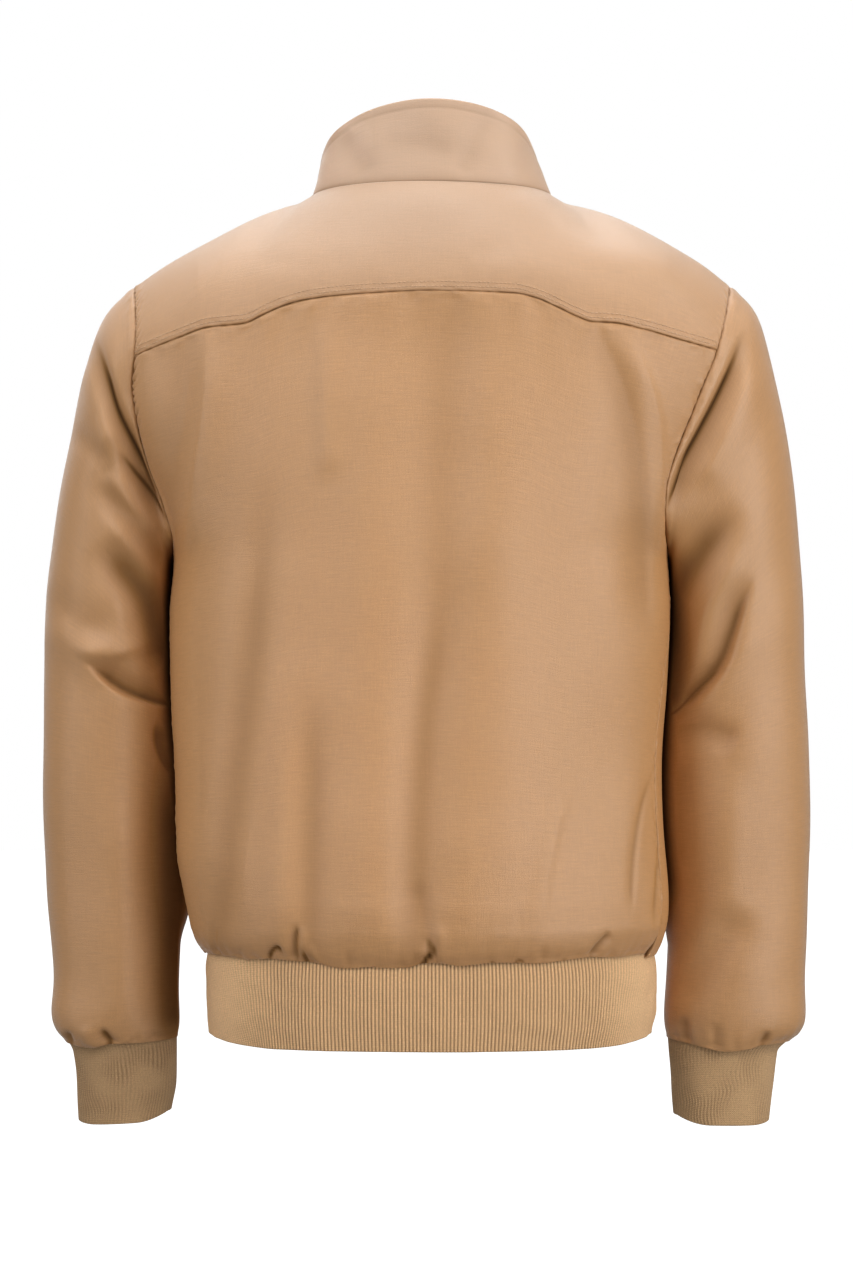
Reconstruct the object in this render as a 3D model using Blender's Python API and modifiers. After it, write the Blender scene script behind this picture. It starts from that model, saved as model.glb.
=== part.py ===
# Harrington jacket, filled out as if worn.
# The back faces -Y, the zip faces +Y, the wearer's left is -X, and the origin is at the nape seam's
# height in the middle of the neck. Tables are in millimetres; the objects are in metres.

import math

import bmesh
import bpy
import numpy as np
from mathutils import Matrix

MM = 0.001

# Cloth
CLOTH_WALL = 1.6
SEAM_GAP = 0.3
TAPE_WALL = 1.0

# Neck and collar
NECK_HALF_WIDTH = 91
NECK_CENTRE_Y = -5
NECK_BACK = 73
NECK_FRONT = 67
NECK_SIDE_DROP = 4
NECK_FRONT_DROP = 78
COLLAR_HALF_WIDTH = 88
COLLAR_CENTRE_Y = 8
COLLAR_HALF_DEPTH = 73
COLLAR_BACK_Z = 63
COLLAR_SLOPE = 0.6

# Shoulders, armholes and hem
SHOULDER_SEAM_Y = 3
ARMPIT_Z = -279
CHEST_Z = -178
BODY_TOP_Z = -130
HEM_SEAM_Z = -574
HEM_Z = -641
HEM_HALF_LEFT = 170
HEM_HALF_RIGHT = 168
BODY_POWER = 2.3
SLEEVE_POWER = 2.15
SLEEVE_CLEARANCE = 1.0

# Front closure
FRONT_EDGE_X = 4
FACING_X = 16
TAPE_EDGE_X = 2.9
CHAIN_HALF_WIDTH = 2.6
CHAIN_THICKNESS = 2.4
CHAIN_DEPTH = 0.9
SLIDER_HEIGHT = 46
SLIDER_LENGTH = 10
SLIDER_WIDTH = 8.4
SLIDER_PLATE = 1.2
SLIDER_FRONT = 0.3
SLIDER_BACK = -3.6
POST_WIDTH = 3.2
POST_LENGTH = 4
BRIDGE_RADIUS = 3.2
BRIDGE_WIRE = 0.6
PIVOT_HEIGHT = 5
PIVOT_OUT = 2.5
PULL_LENGTH = 28
PULL_WIDTH = 6
PULL_THICKNESS = 1.4
EYE_LENGTH = 2.4
EYE_WIDTH = 2.4
EYE_RIM = 0.8
EYE_CUT = 4
SLIDER_BEVEL = 0.35
PULL_BEVEL = 0.4

# Directions in which the cloth meets the shoulder and neck seams, from the middle (0) to the sleeve (1)
LEAN_FIELDS = ("share", "inward", "forward", "up")
YOKE_LEAN = [(0, 0, 0.72, 0.62), (0.3, 0.25, 0.8, 0.4), (0.55, 0.5, 0.8, 0.1), (1, 0, 1.0, -0.3)]
FRONT_LEAN = [(0, 0, 0.62, -0.7), (0.35, -0.2, 0.7, -0.62), (0.6, -0.3, 0.85, -0.4), (1, 0, 0.95, -0.45)]

# Angle from the middle to the column under the neck's corner, at each height
SHOULDER_BLADE_Z = -90
NECK_ANGLE_Z = (HEM_SEAM_Z, ARMPIT_Z, SHOULDER_BLADE_Z)
NECK_ANGLES = (42, 38, 31)
SHARE_UNDER_NECK = {"back": 6 / 11, "front": 0.5}

# The side seams swing from the armpit to their own place by the waist
WAIST_Z = -420

# Short step down the cloth that gives its direction at a seam
DIRECTION_STEP = 8

# Grid counts
YOKE_ROWS = 4
BACK_ARMHOLE_ROWS = 8
FRONT_SHOULDER_ROWS = 6
FRONT_ARMHOLE_ROWS = 6
SHOULDER_COLUMNS = 5
NECK_COLUMNS = 12
FRONT_NECK_COLUMNS = 6
COLLAR_ROW_SHARES = (0, 0.35, 0.7, 1)
SEAM_ROUNDS = 12
SIDE_ROW_Z = (ARMPIT_Z, -310, -350, -396, -444, -490, -524, -547, -562, HEM_SEAM_Z)

# Half widths and depths of the body at each height
BODY_FIELDS = ("z", "left", "right", "back", "front")
BODY = [
    (-60, 256, 252, 96, 88),
    (-90, 253, 248, 104, 98),
    (-128, 247, 238, 113, 109),
    (-160, 241, 224, 119, 117),
    (-200, 226, 205, 124, 124),
    (-240, 208, 192, 127, 128),
    (-279, 196, 179, 128, 130),
    (-320, 199, 181, 127, 130),
    (-380, 198, 178, 126, 127),
    (-440, 195, 175, 125, 124),
    (-500, 193.5, 177.5, 126, 124),
    (-532, 188, 179.5, 126, 123),
    (-552, 182, 178.5, 123, 120),
    (-564, 177, 173, 118, 115),
    (HEM_SEAM_Z, HEM_HALF_LEFT, HEM_HALF_RIGHT, 111, 107),
]

# Edge of the panels at the armholes, and of the side seams below the armpit
EDGE_FIELDS = ("z", "back_left", "back_right", "front_left", "front_right")
EDGE = [
    (-60, 222, 222, 222, 222),
    (-90, 221, 220, 219, 218),
    (-112, 221.5, 216, 213, 209),
    (-128, 222, 211, 208, 201),
    (-150, 224, 202, 203, 191),
    (-168, 222, 195, 200, 184),
    (-195, 217, 184, 196, 177),
    (-220, 209, 176, 193, 173),
    (-240, 202, 174, 192, 172),
    (-262, 196, 175, 193, 174),
]
ARMPIT_Y = (2, -8)
SIDE_SEAM_Y = (-6, -46)

# Height of the yoke's lower seam across the back
YOKE_SEAM_FIELDS = ("x", "z")
YOKE_SEAM = [
    (-222, -128), (-187, -116.5), (-164, -110), (-138, -108), (-121, -101), (-108, -96),
    (-92, -92), (-66, -89), (-42, -87.5), (0, -86), (60, -87.5), (76, -91), (91, -97),
    (107, -104), (117, -107), (133, -107.5), (153, -111), (186, -118.5), (212, -124),
]

# Top line of each shoulder, from the neck out to the sleeve
SHOULDER_FIELDS = ("x", "z")
SHOULDER_LEFT = [
    (-91, 0), (-101, -2), (-111, -5), (-126, -13), (-147, -25.5), (-168, -38), (-191, -50.5),
    (-210, -62), (-226, -74),
]
SHOULDER_RIGHT = [
    (91, 0), (102, -2), (114, -5), (132, -13), (154, -25), (175, -38), (195, -50.5),
    (213, -61.5), (226, -73.5),
]

# Each sleeve ring passes through an outer and an inner point; the depth is half its size along Y
SLEEVE_FIELDS = ("outer_x", "outer_z", "inner_x", "inner_z", "centre_y", "depth", "cap")
SLEEVE_LEFT = [
    (227, -77, 196, -279, -2, 66, 1.0),
    (238, -84, 198, -282, 0, 66, 0.88),
    (249, -96, 199, -286, 3, 66, 0.66),
    (258, -115, 199, -292, 6, 65, 0.42),
    (267, -147, 198, -301, 9, 64, 0.2),
    (275, -183, 197, -314, 12, 63, 0.07),
    (283, -222, 196, -331, 15, 62, 0),
    (290, -265, 196, -351, 18, 61, 0),
    (295, -311, 196, -373, 21, 60, 0),
    (297, -357, 195, -398, 24, 58, 0),
    (298, -412, 194, -433, 26, 57, 0),
    (298.5, -472, 192, -478, 29, 56, 0),
    (295.5, -532, 190.5, -530, 31, 53, 0),
    (292.5, -568, 192.5, -566, 31, 51, 0),
    (290.5, -600, 193, -598, 31, 48, 0),
    (291.5, -622, 194, -620, 31, 45, 0),
    (289, -635, 195, -634, 31, 41, 0),
    (280, -645, 196.5, -644, 31, 35, 0),
]
SLEEVE_RIGHT = [
    (226, -75, 179, -279, -4, 66, 1.0),
    (239, -83, 180, -282, -2, 66, 0.88),
    (248, -96, 181, -286, 1, 66, 0.66),
    (254, -115, 181, -292, 4, 65, 0.42),
    (262, -147, 180, -301, 8, 64, 0.2),
    (270, -183, 179, -314, 11, 63, 0.07),
    (276, -222, 178, -331, 14, 62, 0),
    (280, -265, 178, -351, 17, 61, 0),
    (284, -311, 177, -373, 20, 60, 0),
    (286, -357, 176, -398, 23, 58, 0),
    (287.5, -412, 176, -433, 26, 57, 0),
    (289.5, -472, 176, -478, 29, 56, 0),
    (289, -532, 182, -530, 31, 53, 0),
    (288, -568, 181.5, -566, 31, 51, 0),
    (286.5, -600, 180.5, -598, 31, 48, 0),
    (286, -622, 180, -620, 31, 45, 0),
    (284, -635, 180.5, -634, 31, 41, 0),
    (274, -645, 182, -644, 31, 35, 0),
]

# Ribbed cuffs: outer and inner edge, height, centre along Y and half depth
CUFF_FIELDS = ("outer_x", "inner_x", "z", "centre_y", "depth")
CUFF_LEFT = [
    (279, 196.5, -645, 31, 35),
    (274.5, 196.5, -655, 31, 32),
    (272.5, 197, -680, 31, 30),
    (271, 200, -709, 31, 29),
]
CUFF_RIGHT = [
    (274, 182, -645, 31, 35),
    (264.5, 182, -655, 31, 32),
    (262, 183, -680, 31, 30),
    (258.5, 186, -709, 31, 29),
]

# Ribbed hem band: its height and half sizes
HEM_RIB_FIELDS = ("z", "left", "right", "back", "front")
HEM_RIB = [
    (HEM_SEAM_Z, HEM_HALF_LEFT, HEM_HALF_RIGHT, 111, 107),
    (-590, 171, 170, 111.5, 107),
    (-618, 171, 169.5, 111, 107),
    (HEM_Z, 169, 166, 109, 106),
]

# Largest folds, on the back (-1) or the front (1): from and to, half width and height; troughs are negative
FOLD_FIELDS = ("face", "x0", "z0", "x1", "z1", "width", "height")
FOLDS = {
    "sleeve_left": [
        (-1, -244, -135, -221, -193, 10, -5),
        (-1, -228, -204, -201, -241, 10, -5),
        (-1, -264, -180, -205, -282, 16, -5),
        (-1, -287, -318, -251, -345, 13, 4),
        (-1, -251, -345, -219, -345, 12, 4),
        (-1, -251, -361, -208, -388, 11, -5),
        (1, -240, -150, -212, -235, 12, -5),
        (1, -280, -330, -215, -372, 14, -5),
        (1, -270, -430, -205, -455, 16, -4),
    ],
    "sleeve_right": [
        (-1, 232, -119, 190, -215, 11, -6),
        (-1, 236, -304, 192, -388, 13, -5),
        (-1, 214, -408, 185, -402, 10, -4),
        (-1, 235, -542, 188, -609, 16, -4),
        (1, 235, -150, 200, -240, 12, -5),
        (1, 270, -320, 200, -380, 14, -5),
        (1, 262, -440, 195, -462, 16, -4),
    ],
    "back_panel": [
        (-1, -118, -150, -100, -480, 26, -3),
        (-1, 0, -150, 6, -560, 30, -3),
        (-1, 150, -130, 160, -235, 18, -3),
        (-1, -55, -160, -50, -540, 28, 2),
        (-1, 72, -160, 70, -520, 30, 2),
        (-1, 160, -446, 147, -557, 12, -3),
        (-1, -183, -190, -168, -330, 18, -3),
    ],
    "front_left": [
        (1, -185, -205, -120, -300, 20, -4),
        (1, -100, -340, -112, -545, 24, -3),
        (1, -55, -250, -50, -480, 26, 2),
    ],
    "front_right": [
        (1, 168, -205, 115, -310, 20, -4),
        (1, 95, -350, 104, -545, 24, -3),
        (1, 52, -260, 50, -480, 26, 2),
    ],
}

# Finish of each material: colour, roughness, metallic
FINISHES = {
    "tan_twill": ((0.55, 0.36, 0.21, 1), 0.55, 0.0),
    "tan_rib": ((0.52, 0.34, 0.19, 1), 0.85, 0.0),
    "tape_cloth": ((0.5, 0.33, 0.19, 1), 0.8, 0.0),
    "brass": ((0.62, 0.5, 0.3, 1), 0.35, 1.0),
}


def column(table, names, name):
    return np.array([row[names.index(name)] for row in table], float)


def named(names, row):
    return dict(zip(names, row))


def smooth(keys, values, at):
    """Value at a key, on a smooth curve through the points that never overshoots them."""
    order = np.argsort(keys)
    keys, values = np.asarray(keys, float)[order], np.asarray(values, float)[order]
    at = min(max(at, keys[0]), keys[-1])
    i = min(max(int(np.searchsorted(keys, at)) - 1, 0), len(keys) - 2)
    rise = np.diff(values) / np.diff(keys)
    product, total = rise[:-1] * rise[1:], rise[:-1] + rise[1:]
    inner = np.divide(2 * product, total, out=np.zeros_like(total), where=product > 0)
    slopes = np.concatenate([[rise[0]], inner, [rise[-1]]])
    span = keys[i + 1] - keys[i]
    t = (at - keys[i]) / span
    return (
        values[i] * (1 + 2 * t) * (1 - t) ** 2
        + values[i + 1] * t * t * (3 - 2 * t)
        + span * (slopes[i] * t * (1 - t) ** 2 - slopes[i + 1] * t * t * (1 - t))
    )


def rounded(cosine, power):
    return math.copysign(abs(cosine) ** (2 / power), cosine)


def hermite(start, leave, end, arrive, t):
    return (
        start * (1 + 2 * t) * (1 - t) ** 2
        + end * t * t * (3 - 2 * t)
        + leave * t * (1 - t) ** 2
        - arrive * t * t * (1 - t)
    )


def body_size(name, z):
    return smooth(column(BODY, BODY_FIELDS, "z"), column(BODY, BODY_FIELDS, name), z)


def section_point(angle, z, left, right, back, front):
    """Point of a body section; the angle is 0 at the middle of the back and 90 at the wearer's right."""
    across, along = math.sin(math.radians(angle)), -math.cos(math.radians(angle))
    half = right if across > 0 else left
    deep = front if along > 0 else back
    return np.array([half * rounded(across, BODY_POWER), deep * rounded(along, BODY_POWER), z])


def body_point(angle, z):
    return section_point(angle, z, *(body_size(name, z) for name in BODY_FIELDS[1:]))


def angle_at_x(x, z, face):
    """Angle at which the body section reaches x, on its back or front face."""
    half = body_size("right" if x > 0 else "left", z)
    share = min(abs(x) / half, 1) ** (BODY_POWER / 2)
    turn = math.degrees(math.asin(share))
    return math.copysign(turn if face == "back" else 180 - turn, x)


def angle_at_y(y, z, side):
    """Angle at which the body section reaches y, on the left (-1) or right (1) side."""
    deep = body_size("back" if y < 0 else "front", z)
    share = (abs(y) / deep) ** (BODY_POWER / 2)
    return side * (90 + math.copysign(math.degrees(math.asin(share)), y))


def side_index(side):
    return 0 if side < 0 else 1


def edge_angle(z, side, face):
    """Angle of a panel's edge: the armhole above the armpit, the side seam below it."""
    armpit_y, side_y = ARMPIT_Y[side_index(side)], SIDE_SEAM_Y[side_index(side)]
    if z <= ARMPIT_Z:
        seam_y = smooth((HEM_SEAM_Z, WAIST_Z, ARMPIT_Z), (side_y, side_y, armpit_y), z)
        return angle_at_y(seam_y, z, side)
    name = face + ("_left" if side < 0 else "_right")
    heights, edges = column(EDGE, EDGE_FIELDS, "z"), column(EDGE, EDGE_FIELDS, name)
    angles = [angle_at_x(side * x, height, face) for x, height in zip(edges, heights)]
    armpit = angle_at_y(armpit_y, ARMPIT_Z, side)
    return smooth([ARMPIT_Z, *heights], [armpit, *angles], z)


def height_at(table, names, x):
    return smooth(column(table, names, "x"), column(table, names, "z"), x)


def shoulder_z(x):
    return height_at(SHOULDER_LEFT if x < 0 else SHOULDER_RIGHT, SHOULDER_FIELDS, x)


def neck_point(turn):
    """Point of the neck seam; the turn is 0 at the nape, 180 at the front and positive to the right."""
    across, forward = math.sin(math.radians(turn)), -math.cos(math.radians(turn))
    if forward < 0:
        y = NECK_CENTRE_Y + NECK_BACK * forward
        z = -NECK_SIDE_DROP * (1 + forward)
    else:
        y = NECK_CENTRE_Y + NECK_FRONT * forward
        z = -NECK_SIDE_DROP - NECK_FRONT_DROP * forward**1.5
    return np.array([NECK_HALF_WIDTH * across, y, z])


def collar_top_point(turn):
    across, forward = math.sin(math.radians(turn)), -math.cos(math.radians(turn))
    y = COLLAR_CENTRE_Y + COLLAR_HALF_DEPTH * forward
    z = COLLAR_BACK_Z - COLLAR_SLOPE * (y - COLLAR_CENTRE_Y + COLLAR_HALF_DEPTH)
    return np.array([COLLAR_HALF_WIDTH * across, y, z])


NECK_CORNER_TURN = 90 + math.degrees(math.asin((SHOULDER_SEAM_Y - NECK_CENTRE_Y) / NECK_FRONT))
FRONT_EDGE_TURN = 180 - math.degrees(math.asin(FRONT_EDGE_X / NECK_HALF_WIDTH))
FACING_TURN = 180 - math.degrees(math.asin(FACING_X / NECK_HALF_WIDTH))


def shoulder_seam_point(side, share):
    """Point of the shoulder seam, from the neck (0) to the sleeve (1)."""
    corner = neck_point(side * NECK_CORNER_TURN)
    tip_x = (SHOULDER_LEFT if side < 0 else SHOULDER_RIGHT)[-1][0]
    tip = np.array([tip_x, SHOULDER_SEAM_Y, shoulder_z(tip_x)])
    point = corner + (tip - corner) * share
    sunk = (shoulder_z(corner[0]) - corner[2]) * (1 - share)
    point[2] = shoulder_z(point[0]) - sunk
    return point


def yoke_top_point(index):
    """The yoke's upper edge: left shoulder seam, neck seam, right shoulder seam."""
    if index < SHOULDER_COLUMNS:
        return shoulder_seam_point(-1, 1 - index / SHOULDER_COLUMNS)
    if index > SHOULDER_COLUMNS + NECK_COLUMNS:
        return shoulder_seam_point(1, (index - SHOULDER_COLUMNS - NECK_COLUMNS) / SHOULDER_COLUMNS)
    return neck_point(NECK_CORNER_TURN * (2 * (index - SHOULDER_COLUMNS) / NECK_COLUMNS - 1))


BACK_COLUMNS = 2 * SHOULDER_COLUMNS + NECK_COLUMNS


def column_angle(share, z, side, face):
    """Angle of a panel's column; the share is 0 at the panel's middle and 1 at its side edge."""
    middle_share = SHARE_UNDER_NECK[face]
    under_neck = smooth(NECK_ANGLE_Z, NECK_ANGLES, z)
    edge = abs(edge_angle(z, side, face))
    edge = edge if face == "back" else 180 - edge
    if share < middle_share:
        turn = under_neck * share / middle_share
    else:
        turn = under_neck + (edge - under_neck) * (share - middle_share) / (1 - middle_share)
    return side * (turn if face == "back" else 180 - turn)


def back_angle(index, z):
    share = 2 * index / BACK_COLUMNS - 1
    return column_angle(abs(share), z, -1 if share < 0 else 1, "back")


def yoke_seam_point(index):
    """Where a column of the back meets the yoke's seam."""
    z = SHOULDER_BLADE_Z
    for _ in range(SEAM_ROUNDS):
        point = body_point(back_angle(index, z), z)
        z = height_at(YOKE_SEAM, YOKE_SEAM_FIELDS, point[0])
    return body_point(back_angle(index, z), z)


def back_row_heights(index):
    """Heights of the back's rows down one column; the rows are level from the armpit down."""
    top = yoke_seam_point(index)[2]
    above = [top + (ARMPIT_Z - top) * i / BACK_ARMHOLE_ROWS for i in range(BACK_ARMHOLE_ROWS)]
    return above + list(SIDE_ROW_Z)


def back_grid():
    columns = [
        [body_point(back_angle(index, z), z) for z in back_row_heights(index)]
        for index in range(BACK_COLUMNS + 1)
    ]
    return np.array(columns).transpose(1, 0, 2)


def lean(table, share):
    """Direction of the cloth where it meets the upper seam, for a share from the middle to the sleeve."""
    shares = column(table, LEAN_FIELDS, "share")
    inward, forward, up = (
        np.interp(abs(share), shares, column(table, LEAN_FIELDS, name)) for name in LEAN_FIELDS[1:]
    )
    return np.array([-math.copysign(inward, share), forward, up])


def yoke_grid():
    """Rows from the shoulder and neck seams down to the yoke's lower seam."""
    columns = []
    for index in range(BACK_COLUMNS + 1):
        top, bottom = yoke_top_point(index), yoke_seam_point(index)
        lower_z = bottom[2] - DIRECTION_STEP
        below = body_point(back_angle(index, lower_z), lower_z)
        fall = (below - bottom) / np.linalg.norm(below - bottom)
        leave = -lean(YOKE_LEAN, 2 * index / BACK_COLUMNS - 1)
        reach = np.linalg.norm(top - bottom)
        shares = [r / YOKE_ROWS for r in range(YOKE_ROWS + 1)]
        columns.append([hermite(top, leave * reach, bottom, fall * reach, t) for t in shares])
    return np.array(columns).transpose(1, 0, 2)


FRONT_COLUMNS = SHOULDER_COLUMNS + FRONT_NECK_COLUMNS


def front_top_point(side, index):
    """The front's upper edge, from the sleeve along the shoulder seam and neck seam to the zip."""
    if index <= SHOULDER_COLUMNS:
        return shoulder_seam_point(side, 1 - index / SHOULDER_COLUMNS)
    if index == FRONT_COLUMNS:
        return neck_point(side * FRONT_EDGE_TURN)
    steps = FRONT_NECK_COLUMNS - 1
    share = (index - SHOULDER_COLUMNS) / steps
    return neck_point(side * (NECK_CORNER_TURN + (FACING_TURN - NECK_CORNER_TURN) * share))


def front_angle(side, index, z):
    if index == FRONT_COLUMNS:
        return angle_at_x(side * FRONT_EDGE_X, z, "front")
    if index == FRONT_COLUMNS - 1:
        return angle_at_x(side * FACING_X, z, "front")
    facing = abs(angle_at_x(side * FACING_X, z, "front"))
    turn = abs(column_angle(1 - index / (FRONT_COLUMNS - 1), z, side, "front"))
    return side * (turn - (180 - facing) * index / (FRONT_COLUMNS - 1))


def front_grid(side):
    """Rows from the shoulder seam down to the hem seam; columns from the side to the zip."""
    columns = []
    for index in range(FRONT_COLUMNS + 1):
        top = front_top_point(side, index)
        chest = body_point(front_angle(side, index, CHEST_Z), CHEST_Z)
        lower_z = CHEST_Z - DIRECTION_STEP
        below = body_point(front_angle(side, index, lower_z), lower_z)
        fall = (below - chest) / np.linalg.norm(below - chest)
        leave = lean(FRONT_LEAN, side * (1 - index / FRONT_COLUMNS))
        reach = np.linalg.norm(top - chest)
        shares = [r / FRONT_SHOULDER_ROWS for r in range(FRONT_SHOULDER_ROWS)]
        over_chest = [hermite(top, leave * reach, chest, fall * reach, t) for t in shares]
        drop = (ARMPIT_Z - CHEST_Z) / FRONT_ARMHOLE_ROWS
        heights = [CHEST_Z + drop * r for r in range(FRONT_ARMHOLE_ROWS)] + list(SIDE_ROW_Z)
        columns.append(over_chest + [body_point(front_angle(side, index, z), z) for z in heights])
    return np.array(columns).transpose(1, 0, 2)


def armhole_loop(side, yoke, back, front):
    """Points round the armhole: from the shoulder seam over the back to the armpit, then up the front."""
    edge = 0 if side < 0 else -1
    over = list(yoke[:, edge])
    down = list(back[1 : BACK_ARMHOLE_ROWS + 1, edge])
    up = list(front[1 : FRONT_SHOULDER_ROWS + FRONT_ARMHOLE_ROWS, 0])[::-1]
    return np.array(over + down + up)


def loop_turns(loop):
    """A turn for each point of the armhole: 0 at the shoulder seam, 180 at the armpit."""
    armpit = YOKE_ROWS + BACK_ARMHOLE_ROWS
    closed = np.vstack([loop, loop[:1]])
    walked = np.concatenate([[0], np.cumsum(np.linalg.norm(np.diff(closed, axis=0), axis=1))])
    behind, ahead = walked[armpit], walked[-1] - walked[armpit]
    return [180 * w / behind if w <= behind else 180 + 180 * (w - behind) / ahead for w in walked[:-1]]


def ring_point(turn, side, ring):
    """Point of a sleeve ring; the turn is 0 at the outside, 90 at the back and 180 at the inside."""
    outer = np.array([side * ring["outer_x"], ring["centre_y"], ring["outer_z"]])
    inner = np.array([side * ring["inner_x"], ring["centre_y"], ring["inner_z"]])
    across = rounded(math.cos(math.radians(turn)), SLEEVE_POWER)
    along = rounded(math.sin(math.radians(turn)), SLEEVE_POWER)
    offset = np.array([0, -ring["depth"] * along, 0])
    return (outer + inner) / 2 + (outer - inner) / 2 * across + offset


def beside_body(side, ring):
    """The sleeve ring with its inner edge just clear of the body's side."""
    z = ring["inner_z"]
    if z <= HEM_SEAM_Z:
        return ring
    across = abs(body_point(angle_at_y(ring["centre_y"], z, side), z)[0])
    return {**ring, "inner_x": max(ring["inner_x"], across + SLEEVE_CLEARANCE)}


def clear_of_body(point, side, least):
    """The point moved outward until it is clear of the body's side."""
    z = point[2]
    if z > BODY_TOP_Z or z < HEM_SEAM_Z:
        return point
    deep = body_size("back" if point[1] < 0 else "front", z)
    half = body_size("right" if side > 0 else "left", z)
    across = half * max(1 - (abs(point[1]) / deep) ** BODY_POWER, 0) ** (1 / BODY_POWER)
    moved = point.copy()
    moved[0] = side * max(side * point[0], across + least)
    return moved


def sleeve_grid(side, loop, table):
    """Rings from the armhole down to the cuff; the first ones keep a share of the armhole's shape."""
    turns = loop_turns(loop)
    rings = [named(SLEEVE_FIELDS, row) for row in table]
    shape = loop - np.array([ring_point(turn, side, rings[0]) for turn in turns])
    rows = [loop]
    for count, ring in enumerate(rings[1:]):
        ring = beside_body(side, ring)
        least = SLEEVE_CLEARANCE if count else SLEEVE_CLEARANCE / 2
        points = np.array([ring_point(turn, side, ring) for turn in turns]) + ring["cap"] * shape
        rows.append([clear_of_body(point, side, least) for point in points])
    return np.array(rows)


def cuff_grid(side, sleeve, loop, table):
    rows = [sleeve[-1]]
    for row in table[1:]:
        ring = named(CUFF_FIELDS, row)
        ring.update(outer_z=ring["z"], inner_z=ring["z"])
        rows.append([ring_point(turn, side, ring) for turn in loop_turns(loop)])
    return np.array(rows)


def collar_turns():
    """Turns of the collar's columns, from the zip round the wearer's left to the zip again."""
    corner = NECK_CORNER_TURN
    step = (FACING_TURN - corner) / (FRONT_NECK_COLUMNS - 1)
    front = [corner + step * i for i in range(1, FRONT_NECK_COLUMNS)] + [FRONT_EDGE_TURN]
    back = [corner * (2 * i / NECK_COLUMNS - 1) for i in range(NECK_COLUMNS + 1)]
    return [-turn for turn in front[::-1]] + back + front


def collar_grid():
    """Rows from the collar's top edge down to the neck seam."""
    base = np.array([neck_point(turn) for turn in collar_turns()])
    top = np.array([collar_top_point(turn) for turn in collar_turns()])
    return np.array([base + (top - base) * share for share in COLLAR_ROW_SHARES[::-1]])


def hem_grid(back, fronts):
    """Rows from the hem seam down; columns from the zip round the wearer's left to the zip again."""
    top = np.concatenate([fronts[-1][-1][::-1], back[-1][1:], fronts[1][-1][1:]])
    first = named(HEM_RIB_FIELDS, HEM_RIB[0])
    rows = [top]
    for row in HEM_RIB[1:]:
        size = named(HEM_RIB_FIELDS, row)
        share = {name: size[name] / first[name] for name in HEM_RIB_FIELDS}
        wide = np.where(top[:, 0] > 0, share["right"], share["left"])
        wide = np.where(np.abs(top[:, 0]) <= FACING_X + SEAM_GAP, 1, wide)
        deep = np.where(top[:, 1] > 0, share["front"], share["back"])
        heights = np.full(len(top), size["z"])
        rows.append(np.stack([top[:, 0] * wide, top[:, 1] * deep, heights], axis=1))
    return np.array(rows)


def grid_normals(grid, closed):
    """Outward unit normals of a grid of points; a closed grid joins its last column to its first."""
    if closed:
        along = np.roll(grid, -1, axis=1) - np.roll(grid, 1, axis=1)
    else:
        along = np.gradient(grid, axis=1)
    down = np.gradient(grid, axis=0)
    normals = np.cross(down, along)
    return normals / np.linalg.norm(normals, axis=2, keepdims=True)


def seam_key(point):
    return tuple(np.round(point, 2))


def pull_from_seams(grid, closed):
    """The grid with its edges drawn back by half the seam gap."""
    moved = grid.copy()
    half = SEAM_GAP / 2
    for edge, inner in ((0, 1), (-1, -2)):
        step = grid[inner] - grid[edge]
        moved[edge] += half * step / np.linalg.norm(step, axis=1, keepdims=True)
        if not closed:
            step = grid[:, inner] - grid[:, edge]
            moved[:, edge] += half * step / np.linalg.norm(step, axis=1, keepdims=True)
    return moved


def finish(name):
    colour, roughness, metallic = FINISHES[name]
    material = bpy.data.materials.get(name) or bpy.data.materials.new(name)
    material.use_nodes = True
    shader = material.node_tree.nodes["Principled BSDF"]
    shader.inputs["Base Color"].default_value = colour
    shader.inputs["Roughness"].default_value = roughness
    shader.inputs["Metallic"].default_value = metallic
    return material


def clear_scene():
    for obj in list(bpy.data.objects):
        bpy.data.objects.remove(obj, do_unlink=True)


def collection(name, hidden=False):
    made = bpy.data.collections.new(name)
    made.hide_render = hidden
    bpy.context.scene.collection.children.link(made)
    return made


def add_object(name, mesh, material, into):
    obj = bpy.data.objects.new(name, mesh)
    into.objects.link(obj)
    mesh.materials.append(finish(material))
    for face in mesh.polygons:
        face.use_smooth = True
    return obj


def folded(name, grid, closed):
    """The panel with its largest folds, which fade out at its seams."""
    if name not in FOLDS:
        return grid
    rows, columns = grid.shape[:2]
    outward = grid_normals(grid, closed)
    fade = np.ones((rows, columns))
    fade[[0, -1]] = 0
    if not closed:
        fade[:, [0, -1]] = 0
    moved = grid.copy()
    for row in FOLDS[name]:
        fold = named(FOLD_FIELDS, row)
        start, end = np.array([fold["x0"], fold["z0"]]), np.array([fold["x1"], fold["z1"]])
        along, places = end - start, grid[:, :, [0, 2]] - start
        share = np.clip(places @ along / (along @ along), 0, 1)
        away = np.linalg.norm(places - share[:, :, None] * along, axis=2)
        facing = np.sqrt(np.clip(fold["face"] * outward[:, :, 1], 0, 1))
        rise = fold["height"] * fade * facing * np.exp(-((away / fold["width"]) ** 2))
        moved += rise[:, :, None] * outward
    return moved


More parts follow.
